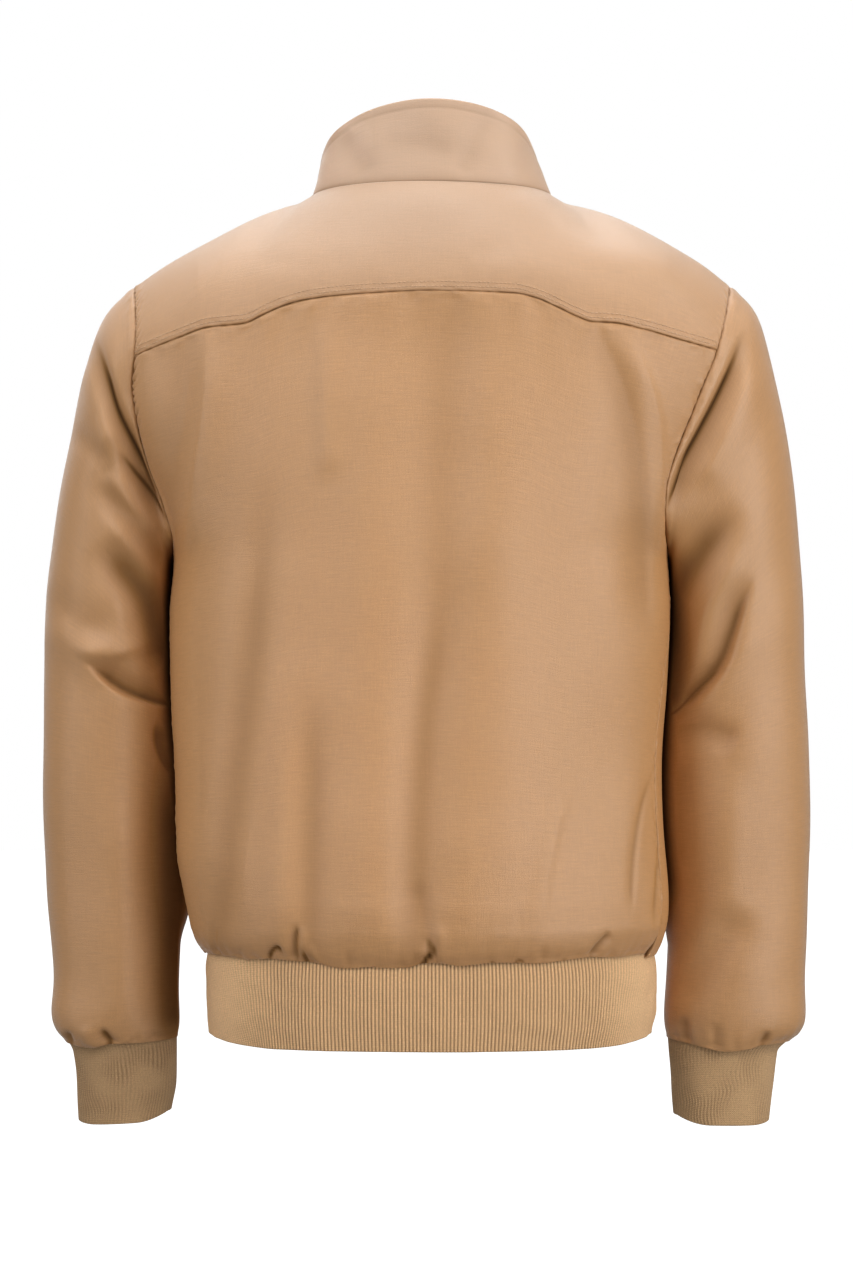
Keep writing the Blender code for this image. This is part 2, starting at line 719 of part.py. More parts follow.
def cloth(name, grid, normals, closed, wall, material, into):
    """A cloth wall: the grid is its outer face, and the inner face lies a wall's thickness behind it."""
    outer = pull_from_seams(grid, closed)
    if name.startswith("sleeve"):
        outer[0, :, 0] += np.sign(outer[0, :, 0]) * SEAM_GAP / 2
    elif name == "collar":
        outer[-1, :, 2] += SEAM_GAP
    layers = (outer, outer - wall * normals)
    rows, columns = grid.shape[:2]
    shell = bmesh.new()
    points = [[[shell.verts.new(p * MM) for p in row] for row in layer] for layer in layers]
    wrap = columns if closed else columns - 1
    out, into_body = points
    for r in range(rows - 1):
        for c in range(wrap):
            d = (c + 1) % columns
            shell.faces.new((out[r][c], out[r][d], out[r + 1][d], out[r + 1][c]))
            shell.faces.new((into_body[r][c], into_body[r + 1][c], into_body[r + 1][d], into_body[r][d]))
    top, bottom = [(0, c) for c in range(columns)], [(rows - 1, c) for c in range(columns)][::-1]
    if closed:
        rims = [top + top[:1], bottom + bottom[:1]]
    else:
        right = [(r, columns - 1) for r in range(1, rows - 1)]
        left = [(r, 0) for r in range(rows - 2, -1, -1)]
        rims = [top + right + bottom + left]
    for rim in rims:
        for (r, c), (s, d) in zip(rim, rim[1:]):
            shell.faces.new((out[r][c], into_body[r][c], into_body[s][d], out[s][d]))
    bmesh.ops.recalc_face_normals(shell, faces=shell.faces)
    mesh = bpy.data.meshes.new(name)
    shell.to_mesh(mesh)
    shell.free()
    return add_object(name, mesh, material, into)


def shared_normals(panels):
    """Normals of every panel, made one at the seams so that joined edges face each other squarely.

    Where two pieces fold back on each other, as under the arm, each keeps more of its own normal.
    """
    normals = {name: grid_normals(grid, closed) for name, (grid, closed) in panels.items()}
    met = {}
    for name, (grid, _) in panels.items():
        for point, normal in zip(grid.reshape(-1, 3), normals[name].reshape(-1, 3)):
            met.setdefault(seam_key(point), []).append(normal)
    shared = {}
    for name, (grid, _) in panels.items():
        joined = normals[name].copy().reshape(-1, 3)
        for i, point in enumerate(grid.reshape(-1, 3)):
            own = joined[i].copy()
            for other in met[seam_key(point)]:
                if not np.array_equal(other, own):
                    joined[i] += other * min(max(1 + 1.5 * float(other @ own), 0), 1)
        joined /= np.linalg.norm(joined, axis=1, keepdims=True)
        shared[name] = joined.reshape(grid.shape)
    return shared


def zip_path(side, inset, grids, normals):
    """Points and normals down the front edge (inset 0) or the facing's line (inset 1), collar to hem."""
    index = -1 - inset if side > 0 else inset
    front = "front_right" if side > 0 else "front_left"
    pieces = [("collar", slice(None)), (front, slice(1, None)), ("hem_rib", slice(1, None))]
    points = np.concatenate([grids[name][0][rows, index] for name, rows in pieces])
    outward = np.concatenate([normals[name][rows, index] for name, rows in pieces])
    return points, outward


def tape(name, side, grids, normals, into):
    """A zip tape: two columns of the front edge's points, moved in behind the cloth."""
    near, near_out = zip_path(side, 0, grids, normals)
    far, far_out = zip_path(side, 1, grids, normals)
    depth = CLOTH_WALL + SEAM_GAP
    near = near - depth * near_out
    near[:, 0] = side * TAPE_EDGE_X
    grid = np.stack([near, far - depth * far_out], axis=1)
    outward = np.stack([near_out, far_out], axis=1)
    return cloth(name, grid, outward, False, TAPE_WALL, "tape_cloth", into)


def chain(name, grids, normals, into):
    """The closed rows of teeth: a plain strip between the tapes that ends inside the slider."""
    points, outward = zip_path(1, 0, grids, normals)
    points[:, 0] = outward[:, 0] = 0
    outward /= np.linalg.norm(outward, axis=1, keepdims=True)
    slider_middle = slider_point(0, 0, SLIDER_LENGTH - POST_LENGTH - SEAM_GAP)
    neck_row = len(COLLAR_ROW_SHARES) - 1
    outward = outward[neck_row - 1 :]
    path = np.concatenate([[slider_middle], points[neck_row:]]) - CHAIN_DEPTH * outward
    half = np.array([CHAIN_HALF_WIDTH, 0, 0])
    grid = np.stack([path - half, path + half], axis=1)
    both = np.stack([outward, outward], axis=1)
    return cloth(name, grid, both, False, CHAIN_THICKNESS, "brass", into)


def slider_axes():
    """Origin of the slider, and the collar's upward and outward directions at the zip."""
    base, top = neck_point(180), collar_top_point(180)
    up = (top - base) / np.linalg.norm(top - base)
    outward = np.array([0, up[2], -up[1]])
    return base + up * SLIDER_HEIGHT, up, outward


def slider_point(x, out, height):
    origin, up, outward = slider_axes()
    return origin + np.array([x, 0, 0]) + out * outward + height * up


def slider_matrix():
    """Turns a piece built with X across, Y outward and Z up the collar into place."""
    origin, up, outward = slider_axes()
    axes = Matrix(((1, 0, 0), tuple(outward), tuple(up))).transposed().to_4x4()
    return Matrix.Translation([c * MM for c in origin]) @ axes


def pivot_point():
    return slider_point(0, PIVOT_OUT, PIVOT_HEIGHT)


def box(name, low, high, material, into, bevel=0.0):
    """A box between two corners, in the slider's own directions."""
    bpy.ops.mesh.primitive_cube_add(size=1)
    obj = bpy.context.object
    obj.name = obj.data.name = name
    size = Matrix.Diagonal([(h - l) * MM for l, h in zip(low, high)] + [1])
    obj.data.transform(Matrix.Translation([(l + h) / 2 * MM for l, h in zip(low, high)]) @ size)
    obj.data.transform(slider_matrix())
    for owner in list(obj.users_collection):
        owner.objects.unlink(obj)
    into.objects.link(obj)
    obj.data.materials.append(finish(material))
    if bevel:
        rounding = obj.modifiers.new("Bevel", "BEVEL")
        rounding.width = bevel * MM
        rounding.segments = 2
    return obj


def boolean(obj, other, operation):
    joining = obj.modifiers.new(operation.title(), "BOOLEAN")
    joining.operation = operation
    joining.object = other
    other.hide_render = True
    other.display_type = "WIRE"


def bridge(into):
    """The wire loop on the slider's face that carries the pull."""
    curve = bpy.data.curves.new("bridge_wire", "CURVE")
    curve.dimensions = "3D"
    curve.bevel_depth = BRIDGE_WIRE * MM
    curve.bevel_resolution = 2
    curve.use_fill_caps = True
    foot = SLIDER_FRONT + SLIDER_PLATE / 2
    arc = [(-math.cos(math.radians(a)), math.sin(math.radians(a))) for a in range(0, 181, 20)]
    path = [(PIVOT_HEIGHT + BRIDGE_RADIUS * c, PIVOT_OUT + BRIDGE_RADIUS * s) for c, s in arc]
    path = [(path[0][0], foot)] + path + [(path[-1][0], foot)]
    line = curve.splines.new("POLY")
    line.points.add(len(path) - 1)
    for point, (height, out) in zip(line.points, path):
        point.co = (*[c * MM for c in slider_point(0, out, height)], 1)
    wire = bpy.data.objects.new("bridge_curve", curve)
    bpy.context.scene.collection.objects.link(wire)
    graph = bpy.context.evaluated_depsgraph_get()
    mesh = bpy.data.meshes.new_from_object(wire.evaluated_get(graph))
    welded = bmesh.new()
    welded.from_mesh(mesh)
    bmesh.ops.remove_doubles(welded, verts=welded.verts, dist=0.00001)
    bmesh.ops.recalc_face_normals(welded, faces=welded.faces)
    welded.to_mesh(mesh)
    welded.free()
    made = bpy.data.objects.new("bridge", mesh)
    into.objects.link(made)
    bpy.data.objects.remove(wire)
    return made


def slider(into, cutters):
    half, back = SLIDER_WIDTH / 2, SLIDER_BACK - SLIDER_PLATE
    front = SLIDER_FRONT + SLIDER_PLATE
    low, high = (-half, SLIDER_FRONT, 0), (half, front, SLIDER_LENGTH)
    body = box("zip_slider", low, high, "brass", into, SLIDER_BEVEL)
    rear = box("rear_plate", (-half, back, 0), (half, SLIDER_BACK, SLIDER_LENGTH), "brass", cutters)
    sink = SLIDER_PLATE / 2
    low = (-POST_WIDTH / 2, back + sink, SLIDER_LENGTH - POST_LENGTH)
    high = (POST_WIDTH / 2, front - sink, SLIDER_LENGTH - sink)
    post = box("post", low, high, "brass", cutters)
    for piece in (rear, post, bridge(cutters)):
        boolean(body, piece, "UNION")
    return body


def pull(into, cutters):
    """The pull tab hangs straight down from the bridge and turns about the bridge's middle."""
    half, thick = PULL_WIDTH / 2, PULL_THICKNESS / 2
    eye_low = -BRIDGE_RADIUS - EYE_LENGTH / 2
    top = eye_low + EYE_LENGTH + EYE_RIM
    low, high = (-half, -thick, top - PULL_LENGTH), (half, thick, top)
    tab = hanging_box("zip_pull", low, high, into, PULL_BEVEL)
    low = (-EYE_WIDTH / 2, -EYE_CUT / 2, eye_low)
    high = (EYE_WIDTH / 2, EYE_CUT / 2, eye_low + EYE_LENGTH)
    boolean(tab, hanging_box("eye", low, high, cutters), "DIFFERENCE")
    return tab


def hanging_box(name, low, high, into, bevel=0.0):
    """A box about the pull's axis, which is the object's own origin."""
    obj = box(name, low, high, "brass", into, bevel)
    obj.data.transform(slider_matrix().inverted())
    obj.location = [c * MM for c in pivot_point()]
    return obj


def main():
    clear_scene()
    jacket = collection("harrington_jacket")
    cutters = collection("cutters", hidden=True)
    yoke, back = yoke_grid(), back_grid()
    fronts = {side: front_grid(side) for side in (-1, 1)}
    loops = {side: armhole_loop(side, yoke, back, fronts[side]) for side in (-1, 1)}
    sleeve_tables, cuff_tables = {-1: SLEEVE_LEFT, 1: SLEEVE_RIGHT}, {-1: CUFF_LEFT, 1: CUFF_RIGHT}
    sleeves = {side: sleeve_grid(side, loops[side], sleeve_tables[side]) for side in (-1, 1)}
    cuffs = {
        side: cuff_grid(side, sleeves[side], loops[side], cuff_tables[side]) for side in (-1, 1)
    }
    collar, hem = collar_grid(), hem_grid(back, fronts)
    panels = {
        "back_yoke": (yoke, False),
        "back_panel": (back, False),
        "front_left": (fronts[-1][:, ::-1], False),
        "front_right": (fronts[1], False),
        "sleeve_left": (sleeves[-1], True),
        "sleeve_right": (sleeves[1][:, ::-1], True),
        "cuff_left": (cuffs[-1], True),
        "cuff_right": (cuffs[1][:, ::-1], True),
        "collar": (collar, False),
        "hem_rib": (hem, False),
    }
    panels = {name: (folded(name, *panel), panel[1]) for name, panel in panels.items()}
    normals = shared_normals(panels)
    for name, (grid, closed) in panels.items():
        ribbed = name.startswith(("cuff", "hem"))
        material = "tan_rib" if ribbed else "tan_twill"
        cloth(name, grid, normals[name], closed, CLOTH_WALL, material, jacket)
    tape("zip_tape_left", -1, panels, normals, jacket)
    tape("zip_tape_right", 1, panels, normals, jacket)
    chain("zip_chain", panels, normals, jacket)
    slider(jacket, cutters)
    pull(jacket, cutters)


main()
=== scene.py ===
# Harrington jacket, filled out as if worn, seen from behind.
# Tables are in millimetres: x to the wearer's right, y towards the zip, z up from the nape seam.

import math

import bmesh
import bpy
import numpy as np
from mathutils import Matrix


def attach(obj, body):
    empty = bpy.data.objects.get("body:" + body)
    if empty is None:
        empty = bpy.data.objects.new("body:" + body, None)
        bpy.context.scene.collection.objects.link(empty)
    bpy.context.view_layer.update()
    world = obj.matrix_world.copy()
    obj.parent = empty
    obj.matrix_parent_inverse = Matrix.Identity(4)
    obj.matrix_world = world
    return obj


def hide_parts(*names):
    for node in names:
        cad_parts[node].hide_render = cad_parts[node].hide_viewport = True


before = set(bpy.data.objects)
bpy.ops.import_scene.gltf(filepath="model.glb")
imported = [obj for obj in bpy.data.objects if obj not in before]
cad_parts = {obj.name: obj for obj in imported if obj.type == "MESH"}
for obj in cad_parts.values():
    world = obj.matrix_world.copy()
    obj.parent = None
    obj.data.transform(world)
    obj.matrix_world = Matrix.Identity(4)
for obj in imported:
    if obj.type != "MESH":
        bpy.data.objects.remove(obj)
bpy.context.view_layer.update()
scene = bpy.context.scene
mm = 0.001
weaveUnit = 100  # millimetres of cloth to one unit of a weave map
print("frame loaded with", len(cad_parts), "nodes")


# camera, lights and floor

studio = {
    "distance": 3.0,
    "height": -0.34,
    "pictureHeight": 0.9728,
    "sideShift": -0.0043,
    "lensFrame": 24,
    "floorHeight": -1.25,
    "floorReach": 14,
    "floorShade": (0.88, 0.88, 0.875, 1),
    "floorLight": (0.93, 0.93, 0.925, 1),
    "floorFade": (0.6, 2.2),
    "ambient": 0.21,
    "ambientColour": (1.0, 0.985, 0.965, 1),
    "backdrop": 1.0,
}
softboxes = [  # name, place, aimed at, size across and along, watts, beam in degrees
    ("overhead", (0.0, -0.1, 2.2), (0.0, 0.0, -0.3), (2.0, 1.2), 26, 180),
    ("highBack", (0.1, -2.3, 1.7), (0.0, 0.0, -0.3), (2.2, 1.2), 21, 180),
    ("highFront", (0.0, 1.5, 1.8), (0.0, 0.0, -0.3), (2.0, 1.2), 20, 180),
    ("cornerLeft", (-1.9, -1.6, 1.0), (0.0, 0.0, -0.3), (1.4, 1.4), 12, 180),
    ("cornerRight", (1.9, -1.6, 1.0), (0.0, 0.0, -0.3), (1.4, 1.4), 10, 180),
    ("rimLeft", (-1.8, 0.2, 1.3), (0.0, 0.0, -0.3), (1.2, 1.2), 9, 180),
    ("rimRight", (1.8, 0.2, 1.3), (0.0, 0.0, -0.3), (1.2, 1.2), 5, 180),
    ("fillRight", (2.3, -1.7, -0.3), (0.0, 0.0, -0.3), (1.6, 2.2), 38, 180),
    ("fillLeft", (-2.3, -2.0, -0.3), (0.0, 0.0, -0.3), (1.6, 2.2), 15, 180),
    ("fillFront", (-0.6, 2.4, 0.4), (0.0, 0.0, -0.3), (2.0, 1.6), 11, 180),
    ("gridLeft", (-2.2, 0.1, 0.35), (0.0, 0.0, 0.04), (0.25, 0.25), 0.032, 9),
    ("gridRight", (2.2, 0.1, 0.35), (0.0, 0.0, 0.04), (0.25, 0.25), 0.017, 9),
    ("gridBack", (-0.35, -2.6, -0.4), (-0.06, -0.1, -0.42), (0.3, 0.3), 0.042, 10),
]


def aim(obj, target):
    away = np.array(obj.location) - np.array(target)
    flat = math.hypot(away[0], away[1])
    obj.rotation_euler = (math.atan2(flat, away[2]), 0, math.atan2(away[0], -away[1]))


def addCamera():
    data = bpy.data.cameras.new("camera")
    camera = bpy.data.objects.new("camera", data)
    scene.collection.objects.link(camera)
    camera.location = (0, -studio["distance"], studio["height"])
    camera.rotation_euler = (math.radians(90), 0, 0)
    data.sensor_fit = "VERTICAL"
    data.sensor_height = studio["lensFrame"]
    data.lens = studio["lensFrame"] * studio["distance"] / studio["pictureHeight"]
    data.shift_x = studio["sideShift"]
    scene.camera = camera


def addLights():
    for name, place, target, size, watts, beam in softboxes:
        data = bpy.data.lights.new(name, "AREA")
        data.shape = "RECTANGLE"
        data.size, data.size_y = size
        data.energy = watts
        data.spread = math.radians(beam)
        light = bpy.data.objects.new(name, data)
        scene.collection.objects.link(light)
        light.location = place
        aim(light, target)


class Wire:  # one socket of a shader, with arithmetic
    def __init__(self, maker, socket):
        self.maker, self.socket = maker, socket

    def maths(self, operation, *values):
        return self.maker.add("ShaderNodeMath", {"operation": operation}, *values)

    def __add__(self, other):
        return self.maths("ADD", self, other)

    def __radd__(self, other):
        return self.maths("ADD", other, self)

    def __sub__(self, other):
        return self.maths("SUBTRACT", self, other)

    def __rsub__(self, other):
        return self.maths("SUBTRACT", other, self)

    def __mul__(self, other):
        return self.maths("MULTIPLY", self, other)

    def __rmul__(self, other):
        return self.maths("MULTIPLY", other, self)

    def sine(self):
        return self.maths("SINE", self)


class Nodes:  # one tree of nodes being made
    def __init__(self, tree):
        self.tree = tree

    def add(self, kind, settings, *values, output=0, **named):
        node = self.tree.nodes.new(kind)
        for key, value in settings.items():
            setattr(node, key, value)
        for key, value in enumerate(values):
            self.plug(value, node.inputs[key])
        for key, value in named.items():
            self.plug(value, node.inputs[key.replace("_", " ")])
        return Wire(self, node.outputs[output])

    def plug(self, value, socket):
        if isinstance(value, Wire):
            self.tree.links.new(value.socket, socket)
        elif value is not None:
            socket.default_value = value

    def plugOutput(self, node, wire):
        self.plug(wire, self.tree.nodes[node].inputs[0])


class Finish(Nodes):  # a material being made
    def __init__(self, name, **constants):
        self.material = bpy.data.materials.new(name)
        self.material.use_nodes = True
        super().__init__(self.material.node_tree)
        self.shader = self.tree.nodes["Principled BSDF"]
        self.finish(**constants)

    def finish(self, **values):
        for key, value in values.items():
            self.plug(value, self.shader.inputs[key.replace("_", " ")])
        return self.material

    def blend(self, share, first, second):  # of two colours
        forNumbers = [None] * 5  # sockets that colours leave alone
        return self.add("ShaderNodeMix", {"data_type": "RGBA"}, share, *forNumbers, first, second, output=2)

    def noise(self, place, scale, detail, roughness=0.5):
        values = {"Vector": place, "Scale": scale, "Detail": detail, "Roughness": roughness}
        return self.add("ShaderNodeTexNoise", {}, **values)

    def threads(self, place, scale, detail, roughness=0.5):  # noise that is drawn out along its threads
        drawn = self.add("ShaderNodeVectorMath", {"operation": "MULTIPLY"}, place, scale)
        return self.noise(drawn, 1.0, detail, roughness)

    def ridges(self, place, pitch):  # even ridges across the cloth, pitch in millimetres
        return (place * (2 * math.pi * weaveUnit / pitch)).sine()

    def objectPlace(self):
        return self.add("ShaderNodeTexCoord", {}, output="Object")

    def weavePlace(self):  # the cloth's own coordinates, whole, across and along
        weave = self.add("ShaderNodeUVMap", {"uv_map": "weave"})
        across, along = (self.add("ShaderNodeSeparateXYZ", {}, weave, output=axis) for axis in "XY")
        return weave, across, along

    def painted(self, name):  # a number that the mesh carries
        return self.add("ShaderNodeAttribute", {"attribute_name": name}, output="Fac")

    def bump(self, strength, distance, height):
        return self.add("ShaderNodeBump", {}, Strength=strength, Distance=distance, Height=height)

    def dullIn(self, share, colour):  # no gloss reaches the bottom of a fold
        dull = self.add("ShaderNodeBsdfPrincipled", {}, Base_Color=colour, Roughness=1, Specular_IOR_Level=0)
        glossy = Wire(self, self.shader.outputs[0])
        self.plugOutput("Material Output", self.add("ShaderNodeMixShader", {}, share, glossy, dull))


def addFloor():
    look = Finish("paleFloor", Roughness=0.85, Emission_Strength=1.0)
    place = look.objectPlace()
    colour = look.blend(look.noise(place, 60, 4), studio["floorShade"], studio["floorLight"])
    away = look.add("ShaderNodeVectorMath", {"operation": "LENGTH"}, place, output="Value")
    near, far = studio["floorFade"]
    clear = look.add("ShaderNodeMapRange", {"interpolation_type": "SMOOTHSTEP"}, away, near, far)
    glow = look.blend(clear, (0.12, 0.12, 0.12, 1), (1, 1, 1, 1))  # runs out into the white backdrop
    mesh = bpy.data.meshes.new("floor")
    reach, level = studio["floorReach"], studio["floorHeight"]
    corners = [(x * reach, y * reach, level) for x, y in ((-1, -1), (1, -1), (1, 1), (-1, 1))]
    mesh.from_pydata(corners, [], [(0, 1, 2, 3)])
    mesh.materials.append(look.finish(Base_Color=colour, Emission_Color=glow))
    floor = bpy.data.objects.new("floor", mesh)
    floor.visible_diffuse = floor.visible_glossy = floor.visible_shadow = False
    scene.collection.objects.link(floor)


def addWorld():
    scene.world = bpy.data.worlds.new("studio")
    scene.world.use_nodes = True
    sky = Nodes(scene.world.node_tree)
    sky.tree.nodes.remove(sky.tree.nodes["Background"])
    around = sky.add("ShaderNodeBackground", {}, studio["ambientColour"], studio["ambient"])
    behind = sky.add("ShaderNodeBackground", {}, (1, 1, 1, 1), studio["backdrop"])
    inPicture = sky.add("ShaderNodeLightPath", {}, output="Is Camera Ray")
    sky.plugOutput("World Output", sky.add("ShaderNodeMixShader", {}, inPicture, around, behind))


scene.view_settings.view_transform = "Standard"
addCamera()
addLights()
addWorld()
addFloor()
print("camera, lights and floor set")


# shape tools

def curveThrough(keys, values):  # smooth, and never overshoots its points
    keys, values = np.array(keys, float), np.array(values, float)
    order = np.argsort(keys)
    keys, values = keys[order], values[order]
    rise = np.diff(values) / np.diff(keys)
    product, total = rise[:-1] * rise[1:], rise[:-1] + rise[1:]
    inner = np.divide(2 * product, total, out=np.zeros_like(total), where=product > 0)
    slopes = np.concatenate([[rise[0]], inner, [rise[-1]]])

    def at(x):
        x = np.clip(x, keys[0], keys[-1])
        i = np.clip(np.searchsorted(keys, x) - 1, 0, len(keys) - 2)
        span = keys[i + 1] - keys[i]
        return hermite(values[i], span * slopes[i], values[i + 1], span * slopes[i + 1], (x - keys[i]) / span)

    return at


def table(names, rows):
    return {name: np.array([row[i] for row in rows], float) for i, name in enumerate(names.split())}


def readers(columns, key):
    return {name: curveThrough(columns[key], columns[name]) for name in columns if name != key}


def hermite(start, leave, end, arrive, t):
    ends = start * (1 + 2 * t) * (1 - t) ** 2 + end * t * t * (3 - 2 * t)
    return ends + leave * t * (1 - t) ** 2 - arrive * t * t * (1 - t)


def ramp(value):
    return np.clip(value, 0, 1)


def stretch(value, over):  # 0 to 1 from over's first number on, across its second
    return ramp((value - over[0]) / over[1])


def eased(value):  # a ramp with soft ends
    value = ramp(value)
    return value * value * (3 - 2 * value)


def bell(value, width):
    return np.exp(-((value / width) ** 2))


def unit(vectors):
    return vectors / np.linalg.norm(vectors, axis=-1, keepdims=True)


fineSteps = (0.5, 1.1, 1.9, 3.0)  # the rows beside a seam


def spread(length, cell, fine=fineSteps):  # places from 0 to 1, closer together near both ends
    near = np.array([0, *fine]) / length
    first, last = near[-1], 1 - near[-1]
    middle = np.linspace(first, last, max(int(length * (last - first) / cell), 2) + 1)
    return np.concatenate([near[:-1], middle, 1 - near[:-1][::-1]])


def outwardOf(grid, closed=False):
    along = np.roll(grid, -1, axis=1) - np.roll(grid, 1, axis=1) if closed else np.gradient(grid, axis=1)
    return unit(np.cross(np.gradient(grid, axis=0), along))


def relax(grid, rounds, closed=False):  # evens out kinks, and leaves the edges where they are
    grid = grid.copy()
    for _ in range(rounds):
        if closed:
            beside = np.roll(grid, 1, axis=1)[1:-1] + np.roll(grid, -1, axis=1)[1:-1]
            grid[1:-1] += 0.25 * (grid[:-2] + grid[2:] + beside - 4 * grid[1:-1]) * 0.9
        else:
            core = grid[1:-1, 1:-1]
            around = grid[:-2, 1:-1] + grid[2:, 1:-1] + grid[1:-1, :-2] + grid[1:-1, 2:]
            grid[1:-1, 1:-1] = core + 0.225 * (around - 4 * core)
    return grid


def walked(grid, axis=0):  # distance along each column, or each row
    steps = np.linalg.norm(np.diff(grid, axis=axis), axis=-1)
    start = np.zeros_like(np.take(steps, [0], axis=axis))
    return np.concatenate([start, np.cumsum(steps, axis=axis)], axis=axis)


def leftToGo(grid):  # distance down each column to the last row
    down = walked(grid)
    return down[-1] - down


def readAlong(at, far, points):  # points of a line at given distances
    return np.stack([np.interp(at, far, column) for column in points.T], axis=-1)


def unevenness(places, size, seed, waves=14):  # soft random field of about -1 to 1
    chance = np.random.default_rng(seed)
    total = np.zeros(places.shape[:-1])
    for _ in range(waves):
        turn = unit(chance.normal(size=places.shape[-1]))
        length = size * chance.uniform(0.7, 1.6)
        total += np.sin(places @ turn * (2 * math.pi / length) + chance.uniform(0, 2 * math.pi))
    return total / math.sqrt(waves)


def smoothPath(points, count=18):
    points = np.array(points, float)
    knots = walked(points)
    if len(points) > 2:
        lean = np.gradient(points, knots, axis=0)
    else:
        lean = np.tile((points[1] - points[0]) / knots[1], (2, 1))
    at = np.linspace(0, knots[-1], count)
    i = np.clip(np.searchsorted(knots, at) - 1, 0, len(knots) - 2)
    span = (knots[i + 1] - knots[i])[:, None]
    t = (at - knots[i])[:, None] / span
    return hermite(points[i], lean[i] * span, points[i + 1], lean[i + 1] * span, t)


def besidePath(places, path):  # distance from a path, positive on the left of travel, and share of its length
    best = np.full(places.shape[:-1], 1e9)
    signed, share = np.zeros_like(best), np.zeros_like(best)
    for i, (start, end) in enumerate(zip(path[:-1], path[1:])):
        along = end - start
        t = ramp((places - start) @ along / (along @ along))
        away = places - start - t[..., None] * along
        gap = np.hypot(away[..., 0], away[..., 1])
        side = np.sign(along[0] * away[..., 1] - along[1] * away[..., 0])
        nearer = gap < best
        best = np.where(nearer, gap, best)
        signed = np.where(nearer, gap * side, signed)
        share = np.where(nearer, (i + t) / (len(path) - 1), share)
    return signed, share


creasing = {"reach": 2.6, "startFade": 0.3, "endFade": 0.2, "soft": 0.8, "crisp": 0.25, "leastCrisp": 1.5}


def creased(grid, outward, creases, face):  # how far creases push the cloth out, and how much shade is painted into them
    push, dark = np.zeros(grid.shape[:-1]), np.zeros(grid.shape[:-1])
    facing = ramp(4 * face * outward[..., 1])
    flat = grid[..., [0, 2]]
    for path, left, right, height, darkness, *rest in creases:
        path = smoothPath(path)
        reach = creasing["reach"] * max(left, right)
        near = (flat > path.min(0) - reach) & (flat < path.max(0) + reach)
        close = np.all(near, axis=-1) & (facing > 0)
        if not close.any():
            continue
        away, share = besidePath(flat[close], path)
        wide = np.where(away > 0, left, right)
        ends = ramp(share / creasing["startFade"]) * ramp((1 - share) / creasing["endFade"])
        here = eased(ends) * facing[close]
        push[close] += height * here * bell(away, wide)
        if darkness:
            crisp = rest[0] if rest else 0
            core = bell(away, np.maximum(creasing["crisp"] * wide, creasing["leastCrisp"]))
            deep = darkness * here * ((1 - crisp) * bell(away, creasing["soft"] * wide) + crisp * core)
            dark[close] = np.maximum(dark[close], deep)
    return push, dark


def creaseWay(outward, centreX):  # creases leave the cloth that faces its neighbour where it is
    inner = np.sign(centreX) * outward[..., :1] < 0
    return outward * np.where(inner, np.array([0.0, 1, 1]), np.array([0.5, 1, 1]))


allowance = {"depth": 2.6, "lean": 0.8}


def turnedIn(grid, dark, edges):  # the seam allowances, folded to the inside
    outward = outwardOf(grid)
    for edge in edges:
        axis, at = {"top": (0, 0), "bottom": (0, -1), "left": (1, 0), "right": (1, -1)}[edge]
        rim, rimOut, rimDark = (np.take(values, [at], axis) for values in (grid, outward, dark))
        inner = rim - allowance["depth"] * rimOut
        if axis == 0:  # and under the next piece
            inner = inner + allowance["lean"] * unit(rim - np.take(grid, [1 if at == 0 else -2], axis))
        pairs = [(inner, grid), (rimOut, outward), (rimDark, dark)]
        grid, outward, dark = (np.concatenate(pair if at == 0 else pair[::-1], axis) for pair in pairs)
    return grid, dark


def onJacket(name, mesh):
    obj = bpy.data.objects.new(name, mesh)
    scene.collection.objects.link(obj)
    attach(obj, "jacket")
    return obj


def addPiece(name, grid, closed=False, dark=None, sheltered=None):
    rows, columns = grid.shape[:2]
    index = np.arange(rows * columns).reshape(rows, columns)
    wrapped = grid
    if closed:
        index = np.concatenate([index, index[:, :1]], axis=1)
        wrapped = np.concatenate([grid, grid[:, :1]], axis=1)
    faces = np.stack([index[:-1, :-1], index[:-1, 1:], index[1:, 1:], index[1:, :-1]], axis=-1).reshape(-1, 4)
    mesh = bpy.data.meshes.new(name)
    mesh.from_pydata((grid.reshape(-1, 3) * mm).tolist(), [], faces.tolist())
    across, down = walked(wrapped, 1).mean(axis=0), walked(wrapped).mean(axis=1)
    weave = np.stack(np.meshgrid(across, -down), axis=-1) / weaveUnit
    corners = np.stack([weave[:-1, :-1], weave[:-1, 1:], weave[1:, 1:], weave[1:, :-1]], axis=2)
    mesh.uv_layers.new(name="weave").data.foreach_set("uv", corners.reshape(-1).astype(np.float32))
    mesh.polygons.foreach_set("use_smooth", np.ones(len(faces), bool))
    # per point: the painted shade, and where gloss is held off
    for field, values in (("paintedShade", dark), ("sheltered", sheltered)):
        values = np.zeros(rows * columns) if values is None else values.reshape(-1)
        mesh.attributes.new(field, "FLOAT", "POINT").data.foreach_set("value", values.astype(np.float32))
    return onJacket(name, mesh)


# the body's form

